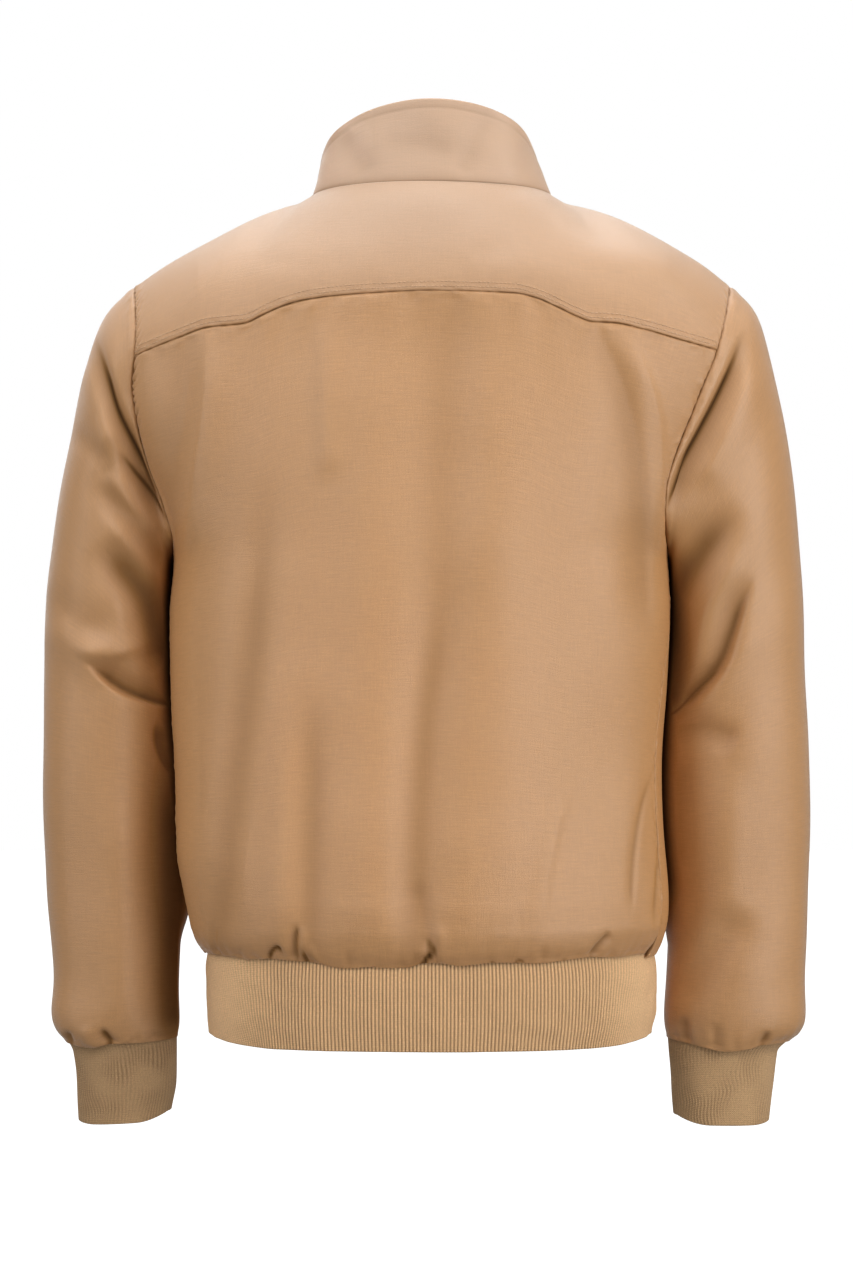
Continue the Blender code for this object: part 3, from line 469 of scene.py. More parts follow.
bodyPower = 2.3  # how square the level sections are
bladeZ, chestZ, armpitZ, waistZ, hemZ, hemBottomZ = -90, -178, -279, -420, -574, -641
sides = ((-1, "Left"), (1, "Right"))
bodyRows = table("z left right back front", [
    (-60, 256, 252, 96, 88), (-90, 253, 248, 104, 98), (-128, 247, 238, 113, 109),
    (-160, 241, 224, 119, 117), (-200, 226, 205, 124, 124), (-240, 208, 192, 127, 128),
    (-279, 196, 179, 128, 130), (-320, 199, 181, 127, 130), (-380, 198, 178, 126, 127),
    (-440, 195, 175, 125, 124), (-500, 193.5, 177.5, 126, 124), (-532, 188, 179.5, 126, 123),
    (-552, 182, 178.5, 123, 120), (-564, 177, 173, 118, 115), (-574, 170, 168, 111, 107),
])
edgeRows = table("z backLeft backRight frontLeft frontRight", [
    (-60, 222, 222, 222, 222), (-90, 221, 220, 219, 218), (-112, 221.5, 216, 213, 209),
    (-128, 222, 211, 208, 201), (-150, 224, 202, 203, 191), (-168, 222, 195, 200, 184),
    (-195, 217, 184, 196, 177), (-220, 209, 176, 193, 173), (-240, 202, 174, 192, 172),
    (-262, 196, 175, 193, 174),
])
armpitY, sideSeamY = {-1: 2, 1: -8}, {-1: -6, 1: -46}
bodyAt = readers(bodyRows, "z")
neckAngleAt = curveThrough((hemZ, armpitZ, bladeZ), (42, 38, 31))
shoulderSteps, napeSteps, facingStep, frontSteps = 5, 12, 10, 11  # along the top edges of yoke and fronts
cornerShare = {"back": napeSteps / (2 * shoulderSteps + napeSteps), "front": 0.5}


def swell(value, power):
    return np.sign(value) * np.abs(value) ** (2 / power)


def sectionPoint(angle, z, size):  # angle 0 at the middle of the back, 90 at the wearer's right
    across, along = np.sin(np.radians(angle)), -np.cos(np.radians(angle))
    half = np.where(across > 0, size["right"](z), size["left"](z))
    deep = np.where(along > 0, size["front"](z), size["back"](z))
    return np.stack([half * swell(across, bodyPower), deep * swell(along, bodyPower), z + 0 * angle], axis=-1)


def bodySide(y, z, side):  # how far the body reaches to one side
    deep = np.where(y < 0, bodyAt["back"](z), bodyAt["front"](z))
    half = bodyAt["right" if side > 0 else "left"](z)
    return half * np.maximum(1 - (np.abs(y) / deep) ** bodyPower, 0) ** (1 / bodyPower)


def angleAtX(x, z, face):
    half = np.where(np.asarray(x) > 0, bodyAt["right"](z), bodyAt["left"](z))
    turn = np.degrees(np.arcsin(np.minimum(np.abs(x) / half, 1) ** (bodyPower / 2)))
    return np.sign(x) * (turn if face == "back" else 180 - turn)


def angleAtY(y, z, side):
    deep = np.where(np.asarray(y) < 0, bodyAt["back"](z), bodyAt["front"](z))
    return side * (90 + np.sign(y) * np.degrees(np.arcsin((np.abs(y) / deep) ** (bodyPower / 2))))


def edgeAngle(z, side, face):  # the armhole above the armpit, the side seam below it
    name = face + ("Left" if side < 0 else "Right")
    armhole = angleAtX(side * edgeRows[name], edgeRows["z"], face)
    above = curveThrough([armpitZ, *edgeRows["z"]], [angleAtY(armpitY[side], armpitZ, side), *armhole])
    seamY = curveThrough((hemZ, waistZ, armpitZ), (sideSeamY[side], sideSeamY[side], armpitY[side]))
    low = np.minimum(z, armpitZ)
    return np.where(z > armpitZ, above(z), angleAtY(seamY(low), low, side))


def columnAngle(share, z, side, face):  # share 0 at the panel's middle, 1 at its side edge
    corner, underNeck = cornerShare[face], neckAngleAt(z)
    edge = np.abs(edgeAngle(z, side, face))
    edge = edge if face == "back" else 180 - edge
    outer = underNeck + (edge - underNeck) * (share - corner) / (1 - corner)
    turn = np.where(share < corner, underNeck * share / corner, outer)
    return side * (turn if face == "back" else 180 - turn)


def backPoint(share, z):
    left, right = (columnAngle(np.abs(share), z, side, "back") for side in (-1, 1))
    return sectionPoint(np.where(share < 0, left, right), z, bodyAt)


yokeSeamRows = table("x z", [
    (-222, -128), (-187, -116.5), (-164, -110), (-138, -108), (-121, -101), (-108, -96), (-92, -92),
    (-66, -89), (-42, -87.5), (0, -86), (60, -87.5), (76, -91), (91, -97), (107, -104), (117, -107),
    (133, -107.5), (153, -111), (186, -118.5), (212, -124),
])
yokeSeamAt = curveThrough(yokeSeamRows["x"], yokeSeamRows["z"])


def yokeSeamZ(share):
    z = np.full(np.shape(share), float(bladeZ))
    for _ in range(12):
        z = yokeSeamAt(backPoint(share, z)[..., 0])
    return z


# neck, shoulders and collar line

neck = {"halfWidth": 91, "centreY": -5, "back": 73, "front": 67, "sideDrop": 4, "frontDrop": 78, "seamY": 3}
collar = {
    "halfWidth": 88, "leanLeft": 3.5, "leanRight": 9, "centreY": 8, "halfDepth": 73, "backZ": 61.5,
    "slope": 0.6, "columns": 270, "height": 64, "cell": 2.0, "thickness": 2.6, "softness": 0.9,
    "fold": 0.6, "foldDepth": 4.5, "stitched": 5.2, "stitchDip": 0.35, "seamDip": 0.6,
    "creases": [
        ([(-66, 44), (-59, 25), (-44, 5)], 10, 9, -1.5, 0.07),
        ([(-46, 33), (-27, 29), (-2, 25), (20, 18)], 8, 10, -1.3, 0.05),
        ([(48, 54), (35, 36), (26, 14), (20, 0)], 10, 9, -1.6, 0.07),
        ([(64, 40), (60, 22), (54, 4)], 9, 9, 1.0, 0),
    ],
}
frontEdgeX, facingX = 4, 16
shoulderRows = {
    -1: table("x z", [
        (-91, 0), (-101, -2), (-111, -5), (-126, -13), (-147, -25.5), (-168, -38), (-191, -50.5),
        (-210, -62), (-226, -74),
    ]),
    1: table("x z", [
        (91, 0), (102, -2), (114, -5), (132, -13), (154, -25), (175, -38), (195, -50.5),
        (213, -61.5), (226, -73.5),
    ]),
}
shoulderAt = {side: curveThrough(rows["x"], rows["z"]) for side, rows in shoulderRows.items()}
cornerTurn = 90 + math.degrees(math.asin((neck["seamY"] - neck["centreY"]) / neck["front"]))
edgeTurn = 180 - math.degrees(math.asin(frontEdgeX / neck["halfWidth"]))
facingTurn = 180 - math.degrees(math.asin(facingX / neck["halfWidth"]))


def neckPoint(turn):  # 0 at the nape, 180 at the zip
    across, forward = np.sin(np.radians(turn)), -np.cos(np.radians(turn))
    ahead = ramp(forward)
    y = neck["centreY"] + np.where(forward < 0, neck["back"], neck["front"]) * forward
    z = -neck["sideDrop"] * (1 + np.minimum(forward, 0)) - neck["frontDrop"] * ahead**1.5
    return np.stack([neck["halfWidth"] * across, y, z], axis=-1)


def collarTopPoint(turn):
    across, forward = np.sin(np.radians(turn)), -np.cos(np.radians(turn))
    y = collar["centreY"] + collar["halfDepth"] * forward
    z = collar["backZ"] - collar["slope"] * (y - collar["centreY"] + collar["halfDepth"])
    lean = np.where(across > 0, collar["leanRight"], collar["leanLeft"]) * across**2  # towards the neck
    return np.stack([(collar["halfWidth"] - lean) * across, y, z], axis=-1)


def shoulderPoint(side, share):  # 0 at the neck, 1 at the sleeve
    corner = neckPoint(side * cornerTurn)
    tipX = shoulderRows[side]["x"][-1]
    tip = np.array([tipX, neck["seamY"], shoulderAt[side](tipX)])
    share = np.asarray(share, float)[..., None]
    point = corner + (tip - corner) * share
    sunk = (shoulderAt[side](corner[0]) - corner[2]) * (1 - share[..., 0])
    point[..., 2] = shoulderAt[side](point[..., 0]) - sunk
    return point


yokeLean = [(0, 0, 0.72, 0.62), (0.3, 0.25, 0.8, 0.4), (0.55, 0.5, 0.8, 0.1), (1, 0, 1.0, -0.3)]
frontLean = [(0, 0, 0.62, -0.7), (0.35, -0.2, 0.7, -0.62), (0.6, -0.3, 0.85, -0.4), (1, 0, 0.95, -0.45)]


def leanAt(rows, share):  # which way the cloth leaves a top edge
    columns = readers(table("share inward forward up", rows), "share")
    inward, forward, up = (columns[name](np.abs(share)) for name in ("inward", "forward", "up"))
    return np.stack([-np.sign(share) * inward, forward, up], axis=-1)


def yokeTop(share):  # a shoulder, round the nape, and the other shoulder
    index = (share + 1) * (2 * shoulderSteps + napeSteps) / 2
    beyond = index - shoulderSteps - napeSteps
    around = neckPoint(cornerTurn * (np.clip(index - shoulderSteps, 0, napeSteps) / (napeSteps / 2) - 1))
    left = shoulderPoint(-1, ramp(1 - index / shoulderSteps))
    right = shoulderPoint(1, ramp(beyond / shoulderSteps))
    return np.where((index < shoulderSteps)[:, None], left, np.where((beyond > 0)[:, None], right, around))


def yokeGrid(shares, downs):
    top, seamZ = yokeTop(shares), yokeSeamZ(shares)
    bottom, below = backPoint(shares, seamZ), backPoint(shares, seamZ - 8)
    reach = np.linalg.norm(top - bottom, axis=-1, keepdims=True)
    leave, fall = -leanAt(yokeLean, shares), unit(below - bottom)
    return hermite(top, leave * reach, bottom, fall * reach, downs[:, None, None])


def backGrid(shares, downs):
    top = yokeSeamZ(shares)
    z = top + (hemZ - top) * downs[:, None]
    return backPoint(np.broadcast_to(shares, z.shape), z)


def frontTop(side, index):  # the shoulder from the sleeve, the neck to the facing's line, and on to the zip
    shoulder = shoulderPoint(side, ramp(1 - index / shoulderSteps))
    share = ramp((index - shoulderSteps) / (facingStep - shoulderSteps))
    turn = cornerTurn + (facingTurn - cornerTurn) * share + (edgeTurn - facingTurn) * ramp(index - facingStep)
    return np.where((index < shoulderSteps)[:, None], shoulder, neckPoint(side * turn))


def frontAngle(side, index, z):
    facing = np.abs(angleAtX(side * facingX, z, "front"))
    edge = np.abs(angleAtX(side * frontEdgeX, z, "front"))
    along = np.minimum(index, facingStep) / facingStep
    turn = np.abs(columnAngle(1 - along, z, side, "front")) - (180 - facing) * along
    return side * (turn + (edge - facing) * ramp(index - facingStep))


def frontGrid(side, indexes, overChest, down):  # hermite over the chest, then level rows
    level = chestZ + 0 * indexes
    top = frontTop(side, indexes)
    chest = sectionPoint(frontAngle(side, indexes, level), level, bodyAt)
    below = sectionPoint(frontAngle(side, indexes, level - 8), level - 8, bodyAt)
    reach = np.linalg.norm(top - chest, axis=-1, keepdims=True)
    leave = leanAt(frontLean, side * (1 - indexes / frontSteps + 1e-9))
    upper = hermite(top, leave * reach, chest, unit(below - chest) * reach, overChest[:, None, None])
    z = (chestZ + (hemZ - chestZ) * down)[:, None] + 0 * indexes
    lower = sectionPoint(frontAngle(side, np.broadcast_to(indexes, z.shape), z), z, bodyAt)
    return np.concatenate([upper[:-1], lower])


# yoke and back panel

back = {
    "width": 440, "yokeDrop": 120, "drop": 470, "cell": 1.7, "smoothing": 60,
    "sink": 0.8, "yokeSink": 0.6, "sway": 0.5, "puff": 3.4,
    "blade": {"push": 7.5, "z": -75, "height": 36, "width": 75, "middle": 0.3},
    "waist": {"push": 2.5, "z": -215, "height": 60}, "edgeLift": 0.3, "stitched": (1.6, 5.1),
    "pucker": 0.4, "puckers": {"pitch": 7.4, "push": 0.8, "reach": 5.5, "dark": 0.7, "darkReach": 3.2},
    "yokePuckers": (-62, -140, 0.8, 0.35), "panelPuckers": (-100, -185, 1.0, 0.3),  # from, to, left, right
    "yokeCreases": [
        ([(-46, -60), (-10, -70), (34, -64)], 12, 9, -1.0, 0),
        ([(26, -62), (62, -50)], 10, 10, -0.8, 0),
        ([(-140, -56), (-90, -66), (-50, -60)], 10, 10, -0.9, 0),
        ([(110, -66), (150, -80), (188, -100)], 9, 9, -1.0, 0),
    ],
    "creases": [  # path, half width left and right of travel, height, darkness of the painted shade, how crisp that shade is
        ([(-183, -104), (-185, -164), (-192, -211), (-202, -290)], 9, 15, -4.4, 0.06),
        ([(-165, -96), (-166, -164), (-173, -211), (-186, -296)], 16, 6, 3.6, 0),
        ([(106, -98), (130, -131), (144, -167), (150, -200), (155, -235), (158, -285),
          (160, -350)], 7, 16, -3.8, 0.2),
        ([(126, -100), (149, -130), (164, -167), (168, -200), (168, -240), (168, -300)], 6, 9, 3.6, 0),
        ([(10, 40), (9, -150), (6, -230), (3, -340), (-4, -400), (-9, -460), (-11, -530),
          (-12, -720)], 20, 22, -3.4, 0.11),
        ([(5, -250), (3, -340), (-4, -400), (-9, -460), (-11, -530), (-12, -720)], 12, 15, -2.4, 0.27),
        ([(-50, 0), (-50, -200), (-47, -340), (-45, -450), (-44, -560), (-44, -700)], 28, 24, 3.4, 0),
        ([(44, 0), (44, -150), (42, -281), (36, -340), (30, -450), (28, -700)], 32, 16, 2.2, 0),
        ([(-86, -360), (-88, -450), (-89, -500), (-89, -560), (-88, -680)], 11, 12, -3.4, 0.2),
        ([(-106, -350), (-112, -440), (-113, -560), (-113, -680)], 13, 12, 2.6, 0),
        ([(-119, -190), (-125, -281), (-131, -340), (-140, -399), (-147, -458), (-152, -502),
          (-156, -560), (-158, -700)], 12, 14, -3.6, 0.2),
        ([(-79, -90), (-78, -150), (-77, -230)], 12, 8, 2.6, 0),
        ([(62, -120), (60, -300), (58, -560)], 28, 24, 1.6, 0),
        ([(118, -330), (114, -450), (108, -600)], 22, 20, -1.6, 0),
        ([(168, -430), (155, -465), (149, -502), (147, -546)], 3, 4, -1.8, 0.3, 0.6),
        ([(168, -432), (170, -489), (163, -560)], 2.4, 2.6, -1.2, 0.28, 0.6),
        ([(101, -436), (82, -526), (74, -590)], 4, 9, 1.3, 0),
    ],
    "tucks": [
        ([(-119, -578), (-117, -568), (-113, -565), (-109, -570)], 1.8, 2.8, -2.6, 0.8, 0.3),
        ([(-98, -546), (-99, -563), (-97.5, -576)], 1.8, 4.5, -2.8, 0.55, 0.3),
        ([(-93, -548), (-94, -576)], 3.4, 3, 1.8, 0),
        ([(-93, -561), (-92, -571), (-86, -578), (-78, -584)], 1.8, 3, -2.8, 0.85, 0.3),
        ([(-89, -560), (-80, -580)], 2.6, 2.6, 1.6, 0),
        ([(-46, -583), (-42.5, -575), (-39, -583)], 1.6, 1.6, -1.8, 0.7),
        ([(-11, -514), (-7, -540), (-3, -566)], 6, 10, -2.4, 0.12),
        ([(-5, -556), (0, -562), (0.5, -567), (-3.5, -571.5), (-7, -575),
          (-9, -584)], 2.2, 3.6, -3.4, 1.0, 0.1),
        ([(6, -545), (5, -580)], 4.5, 3, 1.8, 0),
        ([(-7, -562), (-10, -574)], 2.2, 3, 1.3, 0),
        ([(0, -578), (4, -576.5), (9, -575)], 1.3, 1.3, -1.0, 0.5),
        ([(41, -580), (43.8, -574), (47, -580)], 1.5, 1.5, -1.4, 0.5),
        ([(59, -577), (63, -572), (68, -574)], 1.5, 1.8, -1.6, 0.55),
        ([(114, -580), (117.5, -569), (123, -562), (131, -554)], 2.0, 3.4, -2.2, 0.4, 0.3),
        ([(96, -570), (98, -582)], 2, 2, -1.2, 0.3),
        ([(-161, -548), (-159, -576)], 2.4, 2.4, -1.2, 0.2),
        ([(-140, -562), (-141, -580)], 3, 3, -1.2, 0.15),
        ([(-62, -560), (-60, -584)], 4, 3, -1.2, 0.1),
        ([(82, -560), (80, -584)], 4, 4, -1.2, 0.1),
    ],
}
droopRows = table("x droop", [
    (-190, 0), (-163, 0), (-152, 0), (-136, 1), (-116, -0.5), (-98, 1), (-86, 1.7), (-72, 4.6), (-62, 5.4),
    (-45, 3.7), (-34, 4.6), (-19, 4.6), (-8, 1.6), (5, 0.5), (18, 2.4), (31, 1.4), (44, 0.2), (63, 0.8),
    (78, 1.8), (95, 0.6), (115, -1.2), (126, -0.6), (139, 0), (149, -1), (190, -1),
])
droopAt = curveThrough(droopRows["x"], droopRows["droop"])


def seamGap(grid, edges):  # distance from the nearest sewn edge
    down, across = walked(grid), walked(grid, 1)
    gaps = {"top": down, "bottom": down[-1] - down, "left": across, "right": across[:, -1:] - across}
    return np.minimum.reduce([gaps[edge] for edge in edges])


seam = {"tight": 7, "swayFrom": 30, "bandHold": 42, "dip": 0.9, "line": 0.6}  # distances from the sewn edge


def sewn(grid, outward, look, creases, face, edges, centreX=0):
    gap = seamGap(grid, edges)
    push, dark = creased(grid, outward, creases, face)
    free = ramp(gap / seam["tight"])
    free = free * (2 - free) * (0.12 + 0.88 * eased(leftToGo(grid) / seam["bandHold"]))
    loose = look["sway"] * unevenness(grid, 85, 3) * ramp(gap / seam["swayFrom"])
    loose += look["pucker"] * unevenness(grid, 9, 5) * bell(gap, seam["tight"]) * ramp(gap / 2)
    loose -= look["sink"] * bell(gap, seam["dip"])
    # a thin painted shadow along each sewn edge, stronger in some places than in others
    seamShadeStrength = np.clip(0.72 + 0.5 * unevenness(grid, 8, 7), 0.25, 1)
    dark = np.maximum(dark * np.clip(gap / 3, 0.5, 1), 0.5 * seamShadeStrength * bell(gap, seam["line"]))
    return grid + loose[..., None] * outward + (push * free)[..., None] * creaseWay(outward, centreX), dark


blouse = {"height": 8, "above": 24, "below": 9, "atSeam": 0.36}


def hang(grid, outward, dark, puff, drop, tucks, face):  # the cloth blouses over a ribbed band, with shade painted into its tucks
    height, full = leftToGo(grid), blouse["height"]
    out = bell(height - full, np.where(height > full, blouse["above"], blouse["below"]))
    out = out + blouse["atSeam"] * bell(height, 3)
    fine = 0.6 * unevenness(grid[..., [0, 1]], 11, 11) * np.exp(-height / 10) * np.clip(height / 2.5, 0.2, 1)
    push, deep = creased(grid, outward, tucks, face)
    moved = grid + (puff * out + fine + push * np.clip(height / 4, 0.1, 1))[..., None] * outward
    moved[..., 2] -= drop(grid[..., 0]) * bell(height, 16)
    return moved, np.maximum(dark, deep)


def blades(grid, outward):  # the cloth is fullest over the shoulder blades
    x, z, blade, waist = grid[..., 0], grid[..., 2], back["blade"], back["waist"]
    across = 1 + blade["middle"] * bell(x, blade["width"])
    fuller = blade["push"] * across * bell(z - blade["z"], blade["height"])
    fuller = fuller - waist["push"] * bell(z - waist["z"], waist["height"])
    free = ramp(seamGap(grid, ("left", "right")) / 60) * ramp(-1.4 * outward[..., 1])
    return grid + (fuller * free)[..., None] * outward


def armholePuckers(grid, outward, top, bottom, left, right):  # small gathers that the armhole seam pulls up, with shade painted into their hollows
    look, z, across, along = back["puckers"], grid[..., 2], walked(grid, 1), walked(grid)
    push, dark = np.zeros(grid.shape[:2]), np.zeros(grid.shape[:2])
    between = ramp((top - z) / 12) * ramp((z - bottom) / 12)
    for gap, amount, seed in ((across, left, 81), (across[:, -1:] - across, right, 83)):
        slip = 2.4 * unevenness(grid, 26, seed)
        wave = np.cos(2 * math.pi * (along + 0.5 * gap + slip) / look["pitch"])
        push += look["push"] * wave * bell(gap, look["reach"]) * between * amount
        deep = look["dark"] * ramp(-wave) ** 3 * bell(gap, look["darkReach"]) * between * amount
        dark = np.maximum(dark, deep)
    return grid + push[..., None] * outward, dark


def besideArm(grid):  # the body's sides, where the arm keeps the light off
    z = grid[..., 2]
    facing = ramp((np.abs(outwardOf(grid)[..., 0]) - 0.78) / 0.2)
    return 0.9 * facing * ramp((armpitZ + 60 - z) / 40)


def makeYoke(shares):
    form = relax(yokeGrid(shares, spread(back["yokeDrop"], back["cell"])), back["smoothing"])
    form = blades(form, outwardOf(form))
    outward, look = outwardOf(form), {**back, "sink": back["yokeSink"]}
    form, dark = sewn(form, outward, look, back["yokeCreases"], -1, ("bottom", "left", "right"))
    form, deep = armholePuckers(form, outward, *back["yokePuckers"])
    gap, (first, second) = leftToGo(form), back["stitched"]
    padding = bell(gap - first, 1.4) + 0.5 * bell(gap - second, 1.2)  # by its allowance
    lift = back["edgeLift"] * padding
    form = form + (lift * (1 + 0.5 * unevenness(form, 12, 91)))[..., None] * outward
    grid, dark = turnedIn(form, np.maximum(dark, deep), ("top", "bottom", "left", "right"))
    piece = addPiece("backYoke", grid, dark=dark)
    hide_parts("back_yoke")
    return piece, form


def makePanel(shares):
    grid = backGrid(shares, spread(back["drop"], back["cell"]))
    grid = blades(grid, outwardOf(grid))
    outward = outwardOf(grid)
    grid, dark = sewn(grid, outward, back, back["creases"], -1, ("top", "left", "right"))
    grid, deep = armholePuckers(grid, outward, *back["panelPuckers"])
    top = walked(grid)
    gathers = 0.8 * unevenness(grid[..., [0, 1]], 20, 21) * np.exp(-top / 20) * ramp(top / 5)
    grid = grid + gathers[..., None] * outward
    grid, dark = hang(grid, outward, np.maximum(dark, deep), back["puff"], droopAt, back["tucks"], -1)
    grid, dark = turnedIn(grid, dark, ("top", "left", "right"))
    piece = addPiece("backPanel", grid, dark=dark, sheltered=besideArm(grid))
    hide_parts("back_panel")
    return piece


shares = spread(back["width"], back["cell"]) * 2 - 1
yokePiece, yokeForm = makeYoke(shares)
panelPiece = makePanel(shares)
print("yoke and back panel made")


# fronts, with the zip between them

front = {
    "width": 300, "chestRows": 74, "drop": 396, "cell": 2.4, "smoothing": 40,
    "sink": 0.8, "pucker": 0.4, "sway": 0.7, "puff": 3.2,
    "creases": {
        -1: [
            ([(-192, -190), (-160, -250), (-112, -305)], 18, 12, -4.5, 0.1),
            ([(-100, -340), (-108, -440), (-112, -660)], 20, 20, -3.2, 0),
            ([(-72, -320), (-76, -440), (-80, -660)], 16, 12, 2.6, 0),
            ([(-50, -200), (-44, -490)], 24, 24, 1.8, 0),
            ([(-160, -330), (-152, -450), (-148, -660)], 16, 14, 2.4, 0),
        ],
        1: [
            ([(174, -190), (148, -255), (108, -315)], 12, 18, -4.5, 0.1),
            ([(94, -350), (103, -450), (106, -660)], 18, 20, -3.2, 0),
            ([(68, -330), (72, -450), (74, -660)], 12, 16, 2.6, 0),
            ([(46, -210), (40, -480)], 24, 24, 1.8, 0),
            ([(150, -340), (146, -450), (140, -660)], 14, 16, 2.4, 0),
        ],
    },
    "tucks": {
        -1: [
            ([(-60, -552), (-58, -584)], 4, 4, -3.2, 0.55), ([(-128, -556), (-125, -586)], 4, 4, -3.2, 0.5),
            ([(-94, -558), (-96, -584)], 4, 4, -2.0, 0.3), ([(-26, -560), (-24, -584)], 4, 4, -1.8, 0.25),
        ],
        1: [
            ([(44, -554), (46, -584)], 4, 4, -3.2, 0.55), ([(112, -552), (108, -584)], 4, 5, -3.6, 0.55),
            ([(80, -560), (82, -584)], 4, 4, -2.0, 0.3), ([(140, -556), (138, -584)], 4, 4, -2.4, 0.3),
        ],
    },
}
frontDroopAt = curveThrough(
    (-190, -150, -110, -70, -30, -6, 6, 34, 74, 112, 150, 190), (1, 3, 1, 4, 2, 0, 0, 2, 4, 1, 3, 1),
)


def makeFronts():
    made = {}
    indexes = spread(front["width"], front["cell"]) * frontSteps
    overChest, down = np.linspace(0, 1, front["chestRows"]), spread(front["drop"], front["cell"])
    for side, name in sides:
        grid = relax(frontGrid(side, indexes, overChest, down), front["smoothing"])
        grid = grid[:, ::side]  # so that its outside faces out
        outward = outwardOf(grid)
        grid, dark = sewn(grid, outward, front, front["creases"][side], 1, ("top", "left", "right"))
        grid, dark = hang(grid, outward, dark, front["puff"], frontDroopAt, front["tucks"][side], 1)
        grid, dark = turnedIn(grid, dark, ("top", "left", "right"))
        made[side] = addPiece("front" + name, grid, dark=dark, sheltered=besideArm(grid))
        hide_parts("front_" + name.lower())
    return made


frontPieces = makeFronts()
print("fronts made")


# sleeves

